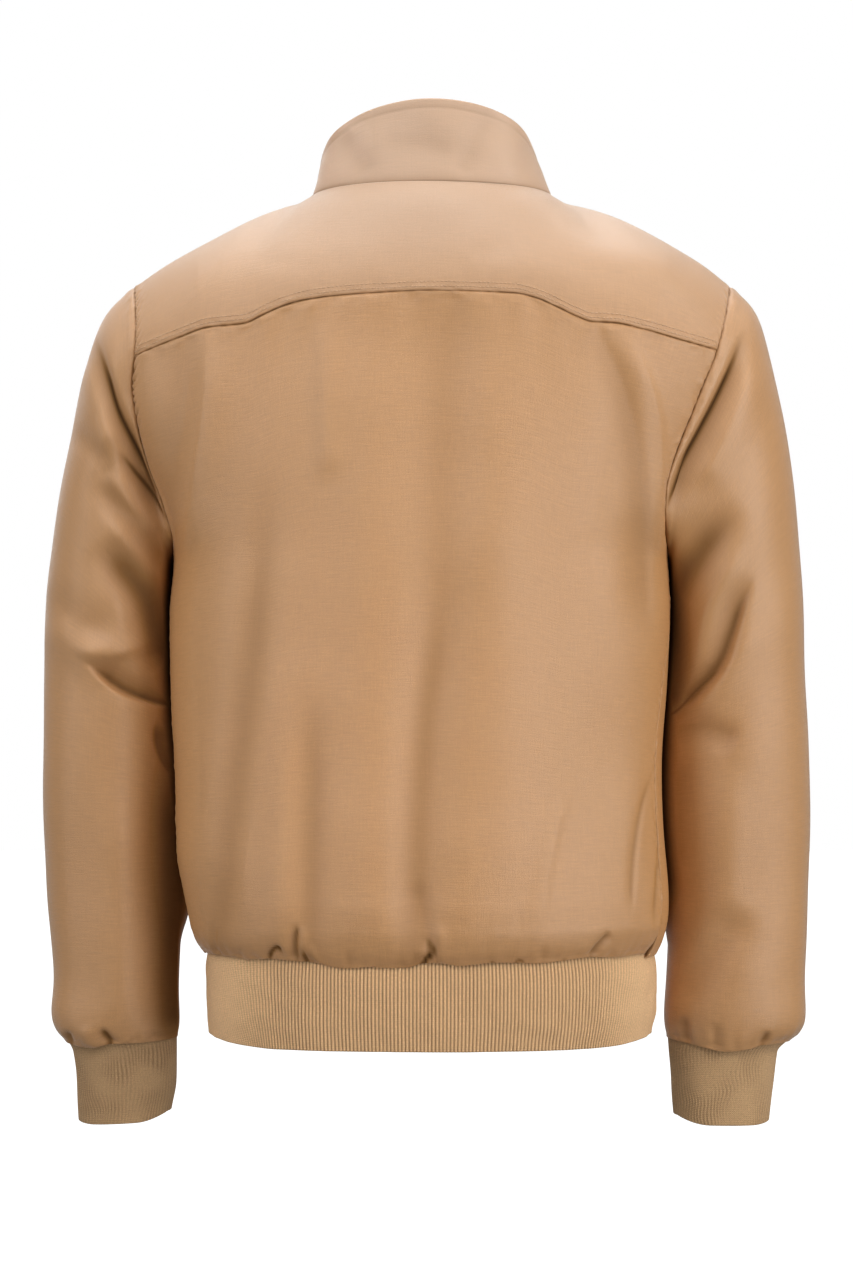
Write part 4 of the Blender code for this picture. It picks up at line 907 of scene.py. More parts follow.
sleeve = {
    "squareness": 2.15, "clearance": 1.2, "around": 230, "length": 590, "cell": 1.7, "smoothing": 30,
    "sink": 0.9, "pucker": 0.35, "sway": 0.55, "puff": 2.0, "headLift": 0.9, "allowance": 2.4, "under": 2.0,
    "touch": 0.4, "hug": {"push": 5.5, "y": 38, "width": 19}, "daylight": {"z": -391, "height": 4.5},
    "rings": table("outerLeft outerRight outerZ innerLeft innerRight innerZ "
                   "centreLeft centreRight depth cap", [
        (227, 226, -77, 196, 179, -279, -2, -4, 66, 1.0),
        (238, 239, -84, 198, 180, -282, 0, -2, 66, 0.88),
        (249, 248, -96, 199, 181, -286, 3, 1, 66, 0.66),
        (258, 254, -115, 199, 181, -292, 6, 4, 65, 0.42),
        (267, 262, -147, 198, 180, -301, 9, 8, 64, 0.2),
        (275, 270, -183, 197, 179, -314, 12, 11, 63, 0.07),
        (283, 276, -222, 196, 178, -331, 15, 14, 62, 0), (290, 280, -265, 196, 178, -351, 18, 17, 61, 0),
        (295, 284, -311, 196, 177, -373, 21, 20, 60, 0), (297, 286, -357, 195, 176, -398, 24, 23, 58, 0),
        (298, 287.5, -412, 194, 176, -433, 26, 26, 57, 0),
        (298.5, 289.5, -472, 192, 176, -478, 29, 29, 56, 0),
        (295.5, 289, -532, 190.5, 182, -530, 31, 31, 53, 0),
        (292.5, 288, -568, 192.5, 181.5, -566, 31, 31, 51, 0),
        (290.5, 286.5, -600, 193, 180.5, -598, 31, 31, 48, 0),
        (291.5, 286, -622, 194, 180, -620, 31, 31, 45, 0),
        (289, 284, -635, 195, 180.5, -634, 31, 31, 41, 0),
        (280, 274, -645, 196.5, 182, -644, 31, 31, 35, 0),
    ]),
    "topZ": {-1: (-77, -84), 1: (-75, -83)},
    # path, half width left and right of travel, height, darkness of the painted shade, how crisp that shade
    # is
    "backCreases": {
        -1: [
            ([(-256, -106), (-247, -133), (-241, -150), (-233, -171), (-222, -194), (-210, -220),
              (-197, -250)], 4, 10, -6.2, 1.0, 0.6),
            ([(-264, -120), (-256, -150), (-246, -178), (-235, -202)], 6, 15, 3.2, 0),
            ([(-280, -178), (-262, -190), (-248, -204), (-238, -222)], 9, 9, -2.6, 0.1),
            ([(-237, -196), (-226, -209), (-213, -226), (-200, -247),
              (-190, -262)], 3.4, 7, -6.0, 0.85, 0.75),
            ([(-248, -212), (-233, -232), (-215, -250), (-202, -264)], 6, 8, 2.8, 0),
            ([(-252, -208), (-240, -231), (-221, -253), (-205, -277), (-194, -292)], 8, 12, -6.0, 0.22),
            ([(-246, -244), (-227, -266), (-209, -288), (-197, -306)], 6, 8, 3.2, 0),
            ([(-252, -262), (-233, -286), (-216, -308), (-207, -338), (-201, -372)], 16, 13, -7.5, 0.66),
            ([(-296, -300), (-266, -324), (-236, -334)], 14, 10, -2.4, 0.05),
            ([(-300, -324), (-272, -344), (-248, -358), (-232, -364)], 11, 15, 2.6, 0),
            ([(-276, -343), (-248, -349), (-224, -346), (-202, -336)], 9, 6, 3.2, 0),
            ([(-262, -353), (-250, -365), (-236, -376), (-219, -384), (-203, -389),
              (-184, -391)], 15, 2.2, -9.0, 0.72, 0.45),
            ([(-250, -374), (-230, -388), (-208, -396), (-190, -398)], 5, 12, 1.2, 0),
            ([(-206, -396), (-209, -410), (-206, -428), (-195, -448)], 14, 2.6, -5, 0.6),
            ([(-202, -400), (-199, -520), (-200, -680)], 20, 17, -4, 0.76),
            ([(-192, -284), (-196, -330), (-197, -400)], 10, 12, -1.0, 0.6),
            ([(-268, -430), (-262, -660)], 18, 20, -2.0, 0),
            ([(-236, -430), (-232, -660)], 18, 18, 2.2, 0),
        ],
        1: [
            ([(236, -102), (222, -138), (210, -163), (199, -184), (187, -207), (177, -232),
              (170, -252)], 10, 3, -7.0, 1.0, 0.7),
            ([(247, -124), (231, -165), (214, -200), (197, -230)], 15, 7, 3, 0),
            ([(232, -236), (217, -255), (202, -275), (188, -300), (182, -325), (181, -350),
              (181, -378)], 11, 14, -7.0, 0.56),
            ([(238, -264), (221, -290), (207, -315), (197, -345), (189, -374)], 8, 6, 3, 0),
            ([(242, -288), (234, -308), (225, -336), (217, -358), (204, -376), (189, -391),
              (177, -400)], 3.4, 13, -7.5, 0.55, 0.25),
            ([(222, -352), (213, -366), (200, -379), (188, -392), (172, -404)], 1.6, 5, -1.6, 0.7, 0.7),
            ([(244, -322), (231, -352), (215, -376), (194, -396)], 12, 5, 1.6, 0),
            ([(178, -262), (183, -305), (186, -350), (184, -385), (178, -410)], 11, 12, -2.5, 0.7),
            ([(172, -410), (192, -408), (214, -410), (232, -418)], 9, 13, -3.6, 0.16),
            ([(240, -538), (213, -577), (180, -616)], 14, 14, -4, 0.03),
            ([(187, -420), (188, -520)], 10, 10, -2.0, 0.15),
            ([(252, -420), (246, -600)], 20, 20, -1.8, 0),
            ([(222, -430), (220, -560)], 18, 18, 2.0, 0),
        ],
    },
    "frontCreases": {
        -1: [
            ([(-244, -135), (-226, -190), (-206, -246)], 5, 12, -6, 0.4),
            ([(-286, -322), (-250, -360), (-208, -380)], 12, 5, -6, 0.35),
            ([(-276, -418), (-240, -446), (-205, -458)], 12, 7, -5, 0.2),
            ([(-266, -262), (-236, -296), (-208, -324)], 12, 9, -5, 0.15),
            ([(-284, -345), (-246, -378), (-210, -396)], 6, 12, 3, 0),
            ([(-262, -470), (-258, -660)], 18, 18, -2, 0),
        ],
        1: [
            ([(240, -132), (220, -185), (196, -246)], 12, 5, -6, 0.4),
            ([(276, -312), (236, -362), (194, -384)], 5, 12, -6, 0.35),
            ([(266, -432), (228, -456), (190, -464)], 7, 12, -5, 0.2),
            ([(256, -254), (226, -298), (192, -322)], 9, 12, -5, 0.15),
            ([(274, -338), (232, -384), (194, -402)], 12, 6, 3, 0),
            ([(250, -480), (246, -660)], 18, 18, -2, 0),
        ],
    },
    "tucks": {
        -1: [
            ([(-277, -634), (-273, -650)], 3, 4, -2.4, 0.5),
            ([(-252, -632), (-244, -642), (-243, -652)], 2.6, 4, -2.8, 0.8),
            ([(-212, -636), (-209, -650)], 2.4, 2.4, -1.0, 0.3),
            ([(-262, -628), (-258, -650)], 6, 6, 1.6, 0),
        ],
        1: [
            ([(256, -634), (247, -652)], 3, 4, -2.4, 0.5), ([(192, -624), (194, -650)], 4, 4, -1.8, 0.25),
            ([(214, -626), (217, -652)], 5, 4, -1.6, 0.15),
        ],
    },
}
cuffDroop = {
    -1: curveThrough((-290, -272, -258, -244, -220, -200), (0, 3, 4, 1, 0.5, 0)),
    1: curveThrough((180, 200, 222, 240, 250, 275), (0, 3, 7, 5, 2, 0)),
}


def resampled(points, count):  # equal steps round a closed line
    closed = np.concatenate([points, points[:1]])
    far = walked(closed)
    at = np.arange(count) / count * far[-1]
    return readAlong(at, far, closed), at / far[-1], far


def armholeLoop(side, count):
    over = yokeGrid(np.array([float(side)]), np.linspace(0, 1, 60))[:, 0]
    down = backPoint(np.full(80, float(side)), np.linspace(over[-1, 2], armpitZ, 80))
    up = frontGrid(side, np.array([0.0]), np.linspace(0, 1, 80), np.linspace(0, 1, 200))[:, 0]
    up = up[up[:, 2] > armpitZ][::-1]
    loop, share, far = resampled(np.concatenate([over, down[1:], up[:-1]]), count)
    armpit = far[len(over) + len(down) - 2] / far[-1]  # share of the way round
    turns = np.where(share <= armpit, share / armpit, 1 + (share - armpit) / (1 - armpit))
    return loop, 180 * turns


def ringPoints(turns, side, ring):  # 0 at the top of the arm, 90 at its back, 180 under the arm
    outer = np.stack([side * ring["outerX"], ring["centreY"], ring["outerZ"]], axis=-1)[:, None]
    inner = np.stack([side * ring["innerX"], ring["centreY"], ring["innerZ"]], axis=-1)[:, None]
    across = swell(np.cos(np.radians(turns)), sleeve["squareness"])[None, :, None]
    along = swell(np.sin(np.radians(turns)), sleeve["squareness"])[None, :]
    points = (outer + inner) / 2 + (outer - inner) / 2 * across
    points[..., 1] -= ring["depth"][:, None] * along
    return points


def clearOfBody(points, side, least):  # keeps the sleeve beside the body
    x, y, z = points[..., 0], points[..., 1], points[..., 2]
    wanted = np.maximum(side * x, bodySide(y, z, side) + least)
    moved = points.copy()
    moved[..., 0] = np.where((z < -130) & (z > hemZ), side * wanted, x)
    return moved


def hugged(points, side):  # under the arm the sleeve lies against the front's side
    x, y, z = points[..., 0], points[..., 1], points[..., 2]
    half = bodyAt["right" if side > 0 else "left"](z)
    close = ramp((half + 26 - side * x) / 14) * ramp((armpitZ + 24 - z) / 20) * ramp((z - hemZ) / 30)
    hug, daylight = sleeve["hug"], sleeve["daylight"]
    inward = hug["push"] * bell(y - hug["y"], hug["width"]) * close
    if side > 0:  # daylight shows at the crook of the elbow
        inward *= 1 - bell(z - daylight["z"], daylight["height"])
    moved = points.copy()
    moved[..., 0] -= side * inward
    return moved


def ringsOf(side, name):
    rings = sleeve["rings"]
    found = {key: rings[key].copy() for key in ("outerZ", "innerZ", "depth", "cap")}
    found.update(outerX=rings["outer" + name], innerX=rings["inner" + name], centreY=rings["centre" + name])
    found["outerZ"][:2] = sleeve["topZ"][side]
    angle = angleAtY(found["centreY"], found["innerZ"], side)
    reach = np.abs(sectionPoint(angle, found["innerZ"], bodyAt)[..., 0])
    wider = np.maximum(found["innerX"], reach + sleeve["clearance"])
    beside = (found["innerZ"] > hemZ) & (np.arange(len(wider)) > 0)
    found["innerX"] = np.where(beside, wider, found["innerX"])
    return found


def sleeveForm(side, name):
    loop, turns = armholeLoop(side, sleeve["around"])
    rings, number = ringsOf(side, name), np.arange(len(sleeve["rings"]["cap"]))
    centre = (rings["outerZ"] + rings["innerZ"]) / 2
    far = np.concatenate([[0], np.cumsum(np.abs(np.diff(centre)) + 4)])
    at = np.interp(spread(sleeve["length"], sleeve["cell"]) * far[-1], far, number)
    sizes = {key: curveThrough(number, values)(at) for key, values in rings.items()}
    shape = loop - ringPoints(turns, side, {key: values[:1] for key, values in rings.items()})[0]
    points = ringPoints(turns, side, sizes) + sizes["cap"][:, None, None] * shape
    grow = ramp(at)[:, None]
    return np.where(grow[..., None] > 0, clearOfBody(points, side, sleeve["clearance"] * grow), points)


def underArm(points, side, reach):  # how closely the sleeve faces the body
    y, z = points[..., 1], points[..., 2]
    gap = np.maximum(side * points[..., 0] - bodySide(y, z, side), 0)
    return bell(gap, reach) * ramp((armpitZ + 30 - z) / 30) * ramp((z - hemZ - 10) / 40)


def makeSleeves():
    made = {}
    for side, name in sides:
        grid = relax(sleeveForm(side, name)[:, ::-side], sleeve["smoothing"], closed=True)
        outward = outwardOf(grid, closed=True)
        grid, dark = sewn(grid, outward, sleeve, sleeve["backCreases"][side], -1, ("top",), centreX=side)
        push, deep = creased(grid, outward, sleeve["frontCreases"][side], 1)
        grid = grid + push[..., None] * creaseWay(outward, side)
        head = walked(grid)
        grid = grid + (sleeve["headLift"] * bell(head - 5, 5))[..., None] * outward  # padded by its allowance
        dark = np.maximum(dark, deep)
        grid, dark = hang(grid, outward, dark, sleeve["puff"], cuffDroop[side], sleeve["tucks"][side], -1)
        grid[1:-1] = clearOfBody(hugged(grid, side)[1:-1], side, sleeve["touch"])
        # painted shade on the sleeve where it faces the body closely
        dark = np.maximum(dark, 0.85 * underArm(grid, side, 7))
        armhole = grid[:1]  # its allowance reaches inwards and under the body's pieces
        inner = armhole + sleeve["allowance"] * unit(armhole.mean(axis=1, keepdims=True) - armhole)
        inner[..., 0] -= sleeve["under"] * side
        grid, dark = np.concatenate([inner, grid]), np.concatenate([dark[:1], dark])
        piece = addPiece("sleeve" + name, grid, closed=True, dark=dark, sheltered=underArm(grid, side, 22))
        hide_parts("sleeve_" + name.lower())
        made[side] = piece
    return made


sleevePieces = makeSleeves()
print("sleeves made")


# ribbed hem and cuffs

ribbing = {"pitch": 2.75, "narrowness": 0.55, "rollSteps": 7, "insideRows": 6, "sewnIn": 6, "seamShade": 0.35}
hem = {
    "columns": 2340, "cell": 2.4, "thickness": 2.4, "middleX": 4, "ribDepth": 0.9, "ribShade": 0.72,
    "stand": 0.9, "rise": 5.5, "riseOver": (118, 52), "calmOver": (118, 34),
    "lean": 0.34, "leanOver": (96, 60),
    "rows": table("z left right back front", [
        (-574, 170, 168, 111, 107), (-590, 171, 170, 111.5, 107), (-618, 171, 169.5, 111, 107),
        (-641, 169, 166, 109, 106),
    ]),
}
cuff = {
    "columns": 480, "levels": 27, "thickness": 2.2, "ribDepth": 0.5, "ribShade": 0.4, "stand": 0.4,
    "rise": 6, "riseOver": (16, 24), "tilt": {-1: 0.05, 1: 0.01}, "shade": {-1: 0.16, 1: 0},
    "rows": table("z outerLeft outerRight innerLeft innerRight centreY depth", [
        (-645, 279, 274, 196.5, 182, 31, 35), (-655, 274.5, 264.5, 196.5, 182, 31, 32),
        (-680, 272.5, 262, 197, 183, 31, 30), (-709, 271, 258.5, 200, 186, 31, 29),
    ]),
}
hemAt, cuffAt = readers(hem["rows"], "z"), readers(cuff["rows"], "z")


def doubled(grid, outward, dark, thickness, inner):  # rolls the last row over and goes back up inside
    away, on = outward[-1], unit(grid[-1] - grid[-3])
    turns = np.linspace(0.3, math.pi, ribbing["rollSteps"])[:, None, None]
    roll = grid[-1] + thickness / 2 * (np.cos(turns) * away + np.sin(turns) * on - away)
    rows = grid[::-1][1 : inner + 1] - thickness * outward[::-1][1 : inner + 1]
    dark = np.concatenate([dark, np.tile(dark[-1], (len(turns), 1)), dark[::-1][1 : inner + 1]])
    return np.concatenate([grid, roll, rows]), dark


def ribPush(across, total, depth):
    count = round(total / ribbing["pitch"])
    wave = 0.5 + 0.5 * np.cos(2 * math.pi * across / total * count)
    groove = 1 - wave ** ribbing["narrowness"]
    return -depth * groove, groove


def hemAngles():  # even steps round the band, which stays open at the zip
    angles = np.linspace(-179.9, 179.9, 4000)
    outline = sectionPoint(angles, np.full(len(angles), float(hemZ)), hemAt)
    keep = (np.abs(outline[:, 0]) > frontEdgeX) | (outline[:, 1] < 0)
    far = walked(outline[keep])
    return np.interp(np.linspace(0, far[-1], hem["columns"]), far, angles[keep])


def makeHem():
    angles, drop = hemAngles(), hemZ - hemBottomZ
    z = (hemZ - drop * spread(drop, hem["cell"], fine=()))[:, None] + 0 * angles
    grid = sectionPoint(np.broadcast_to(angles, z.shape), z, hemAt)
    sewnIn = grid[:1] + np.array([0, 0, ribbing["sewnIn"]])  # above the seam
    grid, z = np.concatenate([sewnIn, grid]), np.concatenate([z[:1] + ribbing["sewnIn"], z])
    straight = (np.abs(grid[..., 0]) < facingX + 1) & (grid[..., 1] > 0)  # beside the zip
    grid[..., 0] = np.where(straight, grid[:1, :, 0], grid[..., 0])
    below = hemZ - z
    rise = stretch(np.abs(grid[..., 0]), hem["riseOver"]) ** 2  # the lower edge rises towards the sides
    grid[..., 2] += hem["rise"] * rise * ramp(below / drop) ** 2
    outward = outwardOf(grid)
    along = walked(grid[:1], 1)[0]
    x, y = grid[..., 0] - hem["middleX"], grid[..., 1]
    calm = stretch(np.abs(x), hem["calmOver"])  # the ribs are stretched flat at the sides
    lean = hem["lean"] * stretch(np.abs(x), hem["leanOver"]) ** 2 * np.sign(x) * np.sign(-y)
    push, groove = ribPush(along - lean * (z + 600), along[-1], hem["ribDepth"] * (1 - 0.8 * calm))
    wander = 0.5 * unevenness(grid, 60, 31) + 0.25 * unevenness(grid, 17, 33)
    edge, hanging = np.minimum(along, along[-1] - along), ramp(below / 20)
    push = push * ramp(edge / 6) + wander * hanging * ramp(edge / 10) + hem["stand"] * hanging
    grid = grid + push[..., None] * outward
    dark = np.maximum(hem["ribShade"] * groove * (1 - 0.75 * calm), ribbing["seamShade"] * bell(below, 3))
    grid, dark = doubled(grid, outward, dark, hem["thickness"], ribbing["insideRows"])
    piece = addPiece("hemRib", grid, dark=dark)
    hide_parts("hem_rib")
    return piece


def makeCuffs():
    made = {}
    topZ, bottomZ = cuff["rows"]["z"][[0, -1]]
    z = np.concatenate([[topZ + ribbing["sewnIn"]], np.linspace(topZ, bottomZ, cuff["levels"])])
    for side, name in sides:
        ring = {key: cuffAt[key](z) for key in ("centreY", "depth")}
        ring.update(outerX=cuffAt["outer" + name](z), innerX=cuffAt["inner" + name](z), outerZ=z, innerZ=z)
        fine, half = np.linspace(0, 360, 1441), len(z) // 2 - 1
        middle = {key: values[half : half + 1] for key, values in ring.items()}
        _, share, far = resampled(ringPoints(fine[:-1], side, middle)[0], cuff["columns"])
        grid = ringPoints(np.interp(share * far[-1], far, fine), side, ring)
        out = side * grid[..., 0] - (ring["outerX"] + ring["innerX"])[:, None] / 2
        lift = cuff["rise"] * stretch(np.abs(out - 6), cuff["riseOver"]) ** 2
        lift = lift + cuff["tilt"][side] * (38 - out)
        grid[..., 2] += lift * ramp((topZ - grid[..., 2]) / (topZ - bottomZ)) ** 2
        grid, along = grid[:, ::-side], (share * far[-1])[::-side]
        outward = outwardOf(grid, closed=True)
        patchy = np.clip(0.55 + 0.6 * unevenness(grid, 30, 41 + side), 0.15, 1)
        slide = 1.3 * unevenness(grid, 26, 51 + side)
        push, groove = ribPush(along + slide, far[-1], cuff["ribDepth"] * patchy)
        wander = 0.6 * unevenness(grid, 45, 61 + side)
        grid = grid + (push + wander + cuff["stand"])[..., None] * outward
        # painted shade in the rib's grooves, and a painted shade over the whole left cuff
        shade = cuff["ribShade"] * groove * patchy + cuff["shade"][side]
        dark = np.maximum(shade, ribbing["seamShade"] * bell(z[:, None] - topZ, 3))
        grid, dark = doubled(grid, outward, dark, cuff["thickness"], ribbing["insideRows"])
        piece = addPiece("cuff" + name, grid, closed=True, dark=dark)
        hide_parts("cuff_" + name.lower())
        made[side] = piece
    return made


hemPiece = makeHem()
cuffPieces = makeCuffs()
print("ribbed hem and cuffs made")


# collar

def makeCollar():
    turns = np.linspace(-edgeTurn, edgeTurn, collar["columns"])
    bottom, top = neckPoint(turns), collarTopPoint(turns)
    rows = spread(collar["height"], collar["cell"], fine=(0.6, 1.4))[::-1]
    grid = bottom + (top - bottom) * rows[:, None, None]
    grid[-1, :, 2] += 0.3
    outward = outwardOf(grid)
    down, base = walked(grid), leftToGo(grid)
    push, dark = creased(grid, outward, collar["creases"], -1)
    soft = collar["softness"] * unevenness(grid, 46, 71) * ramp(base / 20)
    push += soft - collar["seamDip"] * bell(base, 1.6)
    push += collar["fold"] * bell(down, collar["foldDepth"])  # the edge is turned and pressed
    push -= collar["stitchDip"] * bell(down - collar["stitched"], 1.1)
    grid = grid + push[..., None] * outward
    shades = [dark, 0.45 * bell(base, 1.0), 0.12 * bell(base, 6), 0.14 * bell(down - collar["stitched"], 0.9)]
    dark = np.maximum.reduce(shades)
    grid, dark = doubled(grid[::-1], outward[::-1], dark[::-1], collar["thickness"], len(rows) - 1)
    dark[len(rows) :] = 0
    piece = addPiece("standCollar", grid[::-1], dark=dark[::-1])
    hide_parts("collar")
    return piece


collarPiece = makeCollar()
print("collar made")


# zip: tapes, teeth, and the slider and pull from the frame

zipper = {
    "rows": 420, "tapeAcross": (0.6, 2.0, 3.2, 6, 10, 15.5), "tapeDepth": (1.1, 1.2, 1.5, 2.1, 2.2, 2.3),
    "pitch": 1.3, "tooth": (2.6, 2.0, 1.25), "bevel": 0.28, "narrowed": 0.7,
    "meshed": 0.85, "parted": 1.1, "sunk": 1.6, "sliderDrop": 46,
}


def zipPath():  # down the middle of the front, from the collar's top to the hem's bottom
    base, top = neckPoint(180.0), collarTopPoint(180.0)
    neckPart = base + (top - base) * np.linspace(1, 0, 40)[:, None]
    body = frontGrid(1, np.array([float(frontSteps)]), np.linspace(0, 1, 60), np.linspace(0, 1, 120))[:, 0]
    z = np.linspace(hemZ, hemBottomZ, 20)
    low = np.stack([0 * z, hemAt["front"](z), z], axis=-1)
    path = np.concatenate([neckPart[:-1], body[:-1], low])
    path[:, 0] = 0
    far = walked(path)
    line = readAlong(np.linspace(0, far[-1], zipper["rows"]), far, path)
    on = unit(np.gradient(line, axis=0))
    out = np.stack([0 * on[:, 0], -on[:, 2], on[:, 1]], axis=-1)
    return line, out, on, far[-1]


def makeTapes(line, out):
    made = []
    across, depth = (np.array(zipper[key])[:, None] for key in ("tapeAcross", "tapeDepth"))
    for side, name in sides:
        grid = line[:, None] + across * np.array([side, 0, 0]) - depth * out[:, None]
        piece = addPiece("zipTape" + name, grid[6:-2, ::side])
        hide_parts("zip_tape_" + name.lower())
        made.append(piece)
    return made


def toothShape():
    tooth = bmesh.new()
    bmesh.ops.create_cube(tooth, size=1)
    bmesh.ops.scale(tooth, vec=zipper["tooth"], verts=tooth.verts)
    for vert in tooth.verts:
        if vert.co.x > 0:
            vert.co.z *= zipper["narrowed"]  # where it meets the other row
    bmesh.ops.bevel(tooth, geom=tooth.edges[:], offset=zipper["bevel"], segments=1, affect="EDGES")
    bmesh.ops.triangulate(tooth, faces=tooth.faces)
    tooth.verts.index_update()
    points = np.array([vert.co[:] for vert in tooth.verts])
    faces = [[vert.index for vert in face.verts] for face in tooth.faces]
    turned = [face[face.index(min(face)) :] + face[: face.index(min(face))] for face in faces]
    tooth.free()
    return points, np.array(sorted(turned))  # in the same order each run


def repeated(name, shape, faces, places, axes, smooth=True):  # one mesh of many small copies
    points = places[:, None] + np.einsum("kj,njc->nkc", shape, axes)
    firsts = np.arange(len(places)) * len(shape)
    mesh = bpy.data.meshes.new(name)
    allFaces = (faces[None] + firsts[:, None, None]).reshape(-1, faces.shape[1])
    mesh.from_pydata((points.reshape(-1, 3) * mm).tolist(), [], allFaces.tolist())
    mesh.polygons.foreach_set("use_smooth", np.full(len(mesh.polygons), smooth))
    return onJacket(name, mesh)


def makeTeeth(line, out, on, length):
    at = np.linspace(6, length - 3, int((length - 8) / zipper["pitch"]))
    where = np.linspace(0, length, len(line))
    place, outs, ons = (readAlong(at, where, values) for values in (line, out, on))
    outs, ons, sideways = unit(outs), unit(ons), np.array([1.0, 0, 0])
    side = np.where(np.arange(len(at)) % 2 == 0, 1.0, -1.0)[:, None]
    sliderAt = np.linalg.norm(collarTopPoint(180.0) - neckPoint(180.0)) - zipper["sliderDrop"]
    apart = zipper["meshed"] + zipper["parted"] * (at < sliderAt)[:, None]
    place = place + side * apart * sideways - zipper["sunk"] * outs
    shape, faces = toothShape()
    axes = np.stack([-side * sideways, outs, ons], axis=1)
    teeth = repeated("zipTeeth", shape, faces, place, axes, smooth=False)
    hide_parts("zip_chain")
    return teeth


zipLine = zipPath()
tapePieces = makeTapes(*zipLine[:2])
teethPiece = makeTeeth(*zipLine)
print("zip made")


# topstitching

stitch = {
    "gaps": (3.4, 6.8), "length": 2.5, "pitch": 3.1, "width": 0.34, "lift": 0.22, "sides": 6,
    "stations": [  # place along the stitch, thickness, height
        (-0.5, 0.0, -0.25), (-0.38, 0.8, 0.0), (0.0, 1.0, 0.22), (0.38, 0.8, 0.0), (0.5, 0.0, -0.25),
    ],
}


def stitchShape():
    points, faces, around = [], [], stitch["sides"]
    for s, (along, fat, high) in enumerate(stitch["stations"]):
        for k in range(around):
            turn, wide = 2 * math.pi * k / around, stitch["width"]
            across, up = wide * fat * math.cos(turn), wide * (fat * math.sin(turn) + high)
            points.append((along * stitch["length"], across, up))
            if s:
                a, b = (s - 1) * around + k, (s - 1) * around + (k + 1) % around
                faces.append((a, b, b + around, a + around))
    return np.array(points), np.array(faces)


def stitchLine(grid, gap):  # places and axes of one line of stitches above the last row
    outward, above = outwardOf(grid), leftToGo(grid)
    line, normal = [], []
    for column in range(grid.shape[1]):
        order = np.argsort(above[:, column])
        heights = above[order, column]
        line.append(readAlong(gap, heights, grid[order, column]))
        normal.append(readAlong(gap, heights, outward[order, column]))
    line, normal = np.array(line), unit(np.array(normal))
    far = walked(line)
    at = np.arange(stitch["length"], far[-1] - stitch["length"], stitch["pitch"])
    place, up = readAlong(at, far, line), unit(readAlong(at, far, normal))
    along = unit(readAlong(at + 0.5, far, line) - place)
    return place + stitch["lift"] * up, np.stack([along, np.cross(up, along), up], axis=1)


def makeStitches():
    places, axes = zip(*[stitchLine(yokeForm, gap) for gap in stitch["gaps"]])
    shape, faces = stitchShape()
    return repeated("yokeStitches", shape, faces, np.concatenate(places), np.concatenate(axes))


stitchPiece = makeStitches()
print("stitches made")


# finishes

def scaled(colour, *factors):
    factors = factors * 3 if len(factors) == 1 else factors
    return tuple(c * f for c, f in zip(colour, factors)) + (1,)


twillLook = {
    "colour": (0.59, 0.302, 0.117, 1), "shadow": (0.055, 0.025, 0.010, 1), "paintedSheen": (0.62, 0.45, 0.335, 1),
    "paintedSheenShare": 0.55, "twillPitch": 0.9, "twillSlope": 1.15,
}


def twillFinish(name, paintedSheenFrom):
    look = Finish(
        name, Sheen_Weight=0.5, Sheen_Roughness=0.36, Sheen_Tint=(1.0, 0.97, 0.94, 1),
        Specular_IOR_Level=0.6, IOR=1.7,
    )
    colour = twillLook["colour"]
    weave, across, along = look.weavePlace()
    place = look.objectPlace()
    diagonal = look.ridges(across + along * twillLook["twillSlope"], twillLook["twillPitch"])
    warp, weft = look.threads(weave, (190, 9, 1), 3, 0.6), look.threads(weave, (7, 170, 1), 3, 0.6)
    grain, cloud = look.noise(weave, 120, 3, 0.7), look.noise(place, 11, 3, 0.55)
    paintedShade, sheltered = look.painted("paintedShade"), look.painted("sheltered")
    thread = warp * 0.4 + weft * 0.6
    slub = look.threads(weave, (6, 62, 1), 4, 0.6) * 0.6 + look.threads(weave, (66, 5, 1), 4, 0.6) * 0.4
    streaks = (thread - 0.5) * 2.2 + (slub - 0.5) * 1.9 + 0.5
    tone = look.blend(streaks, scaled(colour, 0.84), scaled(colour, 1.16))
    tone = look.blend((grain - 0.5) * 2.4 + 0.4, tone, scaled(colour, 0.86, 0.84, 0.8))
    tone = look.blend((cloud - 0.42) * 1.2, tone, scaled(colour, 0.96, 0.97, 0.94))
    height = look.add("ShaderNodeSeparateXYZ", {}, place, output="Z")
    paintedSheen = look.add("ShaderNodeMapRange", {"interpolation_type": "SMOOTHSTEP"}, height, paintedSheenFrom, 0.0)
    tone = look.blend(paintedSheen * twillLook["paintedSheenShare"], tone, twillLook["paintedSheen"])  # painted sheen: paler towards the top, where light from above falls
    # painted shade in folds, along seams and in grooves
    tone = look.blend(paintedShade, tone, twillLook["shadow"])
    relief = diagonal * 0.16 + thread * 1.4 + slub * 1.2 + grain * 0.8
    rough = 0.4 + (thread - 0.5) * 0.2 + paintedShade * 0.4
    look.dullIn(paintedShade * 1.7 + sheltered, tone)
    return look.finish(Base_Color=tone, Roughness=rough, Normal=look.bump(0.3, 0.0008, relief))


def ribFinish(name, colour, shadow):
    look = Finish(name, Sheen_Weight=0.12, Sheen_Roughness=0.5, Specular_IOR_Level=0.2)
    weave, across, along = look.weavePlace()
    columns = look.ridges(across, 1.75)
    loops = (along * (2 * math.pi * weaveUnit / 1.35) + columns * 1.2).sine()
    fuzz, streak = look.threads(weave, (110, 60, 1), 4, 0.7), look.threads(weave, (60, 8, 1), 3, 0.6)
    patch = look.noise(look.objectPlace(), 24, 3, 0.6)
    tone = look.blend((fuzz - 0.5) * 3 + 0.5, scaled(colour, 0.8), scaled(colour, 1.18))
    tone = look.blend((streak - 0.45) * 1.6, tone, scaled(colour, 0.84))
    tone = look.blend(loops * 0.12 + 0.1, tone, scaled(colour, 0.78))
    tone = look.blend((patch - 0.4) * 0.8, tone, scaled(colour, 0.92))
    # painted shade in the rib's grooves and along its seam
    tone = look.blend(look.painted("paintedShade"), tone, shadow)
    relief = loops * 0.7 + fuzz * 1.4 + streak
    return look.finish(Base_Color=tone, Roughness=0.82 + fuzz * 0.1, Normal=look.bump(0.4, 0.0010, relief))


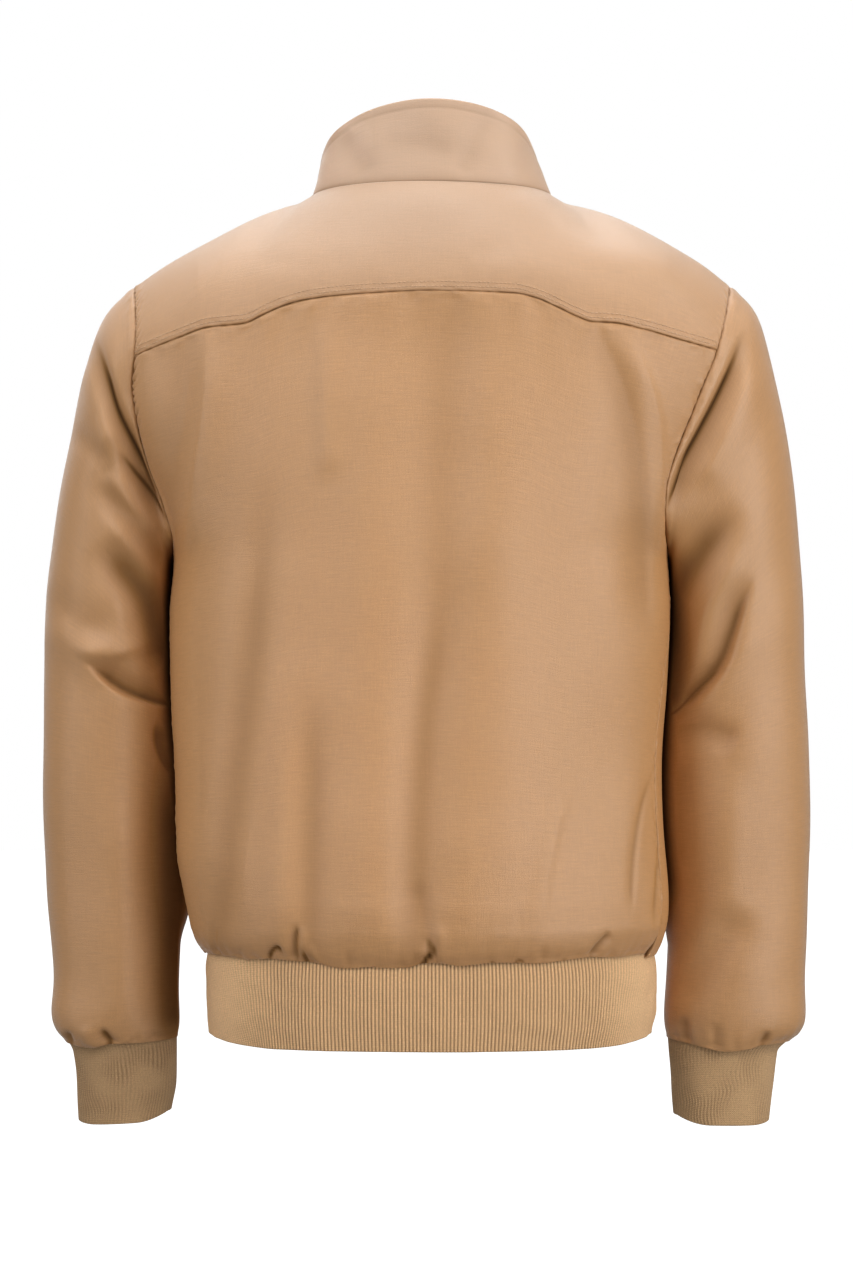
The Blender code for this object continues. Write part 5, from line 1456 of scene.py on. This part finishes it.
def tapeFinish():
    look = Finish("zipTapeWeave", Specular_IOR_Level=0.25)
    weave, across, along = look.weavePlace()
    ridges = look.ridges(across, 1.4) * 0.5 + look.ridges(along, 0.9) * 0.5
    fuzz = look.threads(weave, (120, 120, 1), 3)
    tone = look.blend(fuzz, (0.36, 0.22, 0.12, 1), (0.46, 0.29, 0.16, 1))
    relief = look.bump(0.5, 0.0004, ridges + fuzz)
    return look.finish(Base_Color=tone, Roughness=0.78 + fuzz * 0.1, Normal=relief)


def threadFinish():
    look = Finish("stitchThread", Specular_IOR_Level=0.4)
    fuzz = look.noise(look.objectPlace(), 900, 3)
    tone = look.blend(fuzz, (0.56, 0.36, 0.21, 1), (0.70, 0.47, 0.29, 1))
    return look.finish(Base_Color=tone, Roughness=0.55 + fuzz * 0.15, Normal=look.bump(0.3, 0.0002, fuzz))


def brassFinish():
    look = Finish("zipBrass", Metallic=1.0)
    place = look.objectPlace()
    wear, grain = look.noise(place, 260, 5, 0.65), look.threads(place, (900, 900, 120), 3)
    tone = look.blend(wear, (0.50, 0.36, 0.17, 1), (0.74, 0.57, 0.31, 1))
    return look.finish(Base_Color=tone, Roughness=0.26 + wear * 0.2, Normal=look.bump(0.12, 0.0003, grain))


def paint(pieces, material):
    for piece in pieces:
        piece.data.materials.clear()
        piece.data.materials.append(material)


# two copies of one twill, whose painted sheen starts at different heights
twill, twillUpperPaintedSheen = twillFinish("tanTwill", -0.08), twillFinish("tanTwillUpperPaintedSheen", -0.14)
paint([panelPiece, *frontPieces.values()], twill)
paint([yokePiece, collarPiece, *sleevePieces.values()], twillUpperPaintedSheen)
paint([hemPiece], ribFinish("tanRib", (0.95, 0.60, 0.315, 1), (0.12, 0.055, 0.02, 1)))
# the cuffs' knit is the hem's, in a darker colour painted for the shade they hang in
paint(cuffPieces.values(), ribFinish("tanCuffRibPaintedShade", (0.62, 0.39, 0.20, 1), (0.09, 0.04, 0.014, 1)))
paint(tapePieces, tapeFinish())
paint([stitchPiece], threadFinish())
brass = brassFinish()
paint([teethPiece], brass)
for name in ("zip_slider", "zip_pull"):
    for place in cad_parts[name].material_slots:
        place.material = brass
print("finishes made")


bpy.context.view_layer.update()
meshes = [obj.data for obj in scene.objects if obj.type == "MESH" and not obj.hide_render]
print("triangles", sum(len(face.vertices) - 2 for mesh in meshes for face in mesh.polygons))
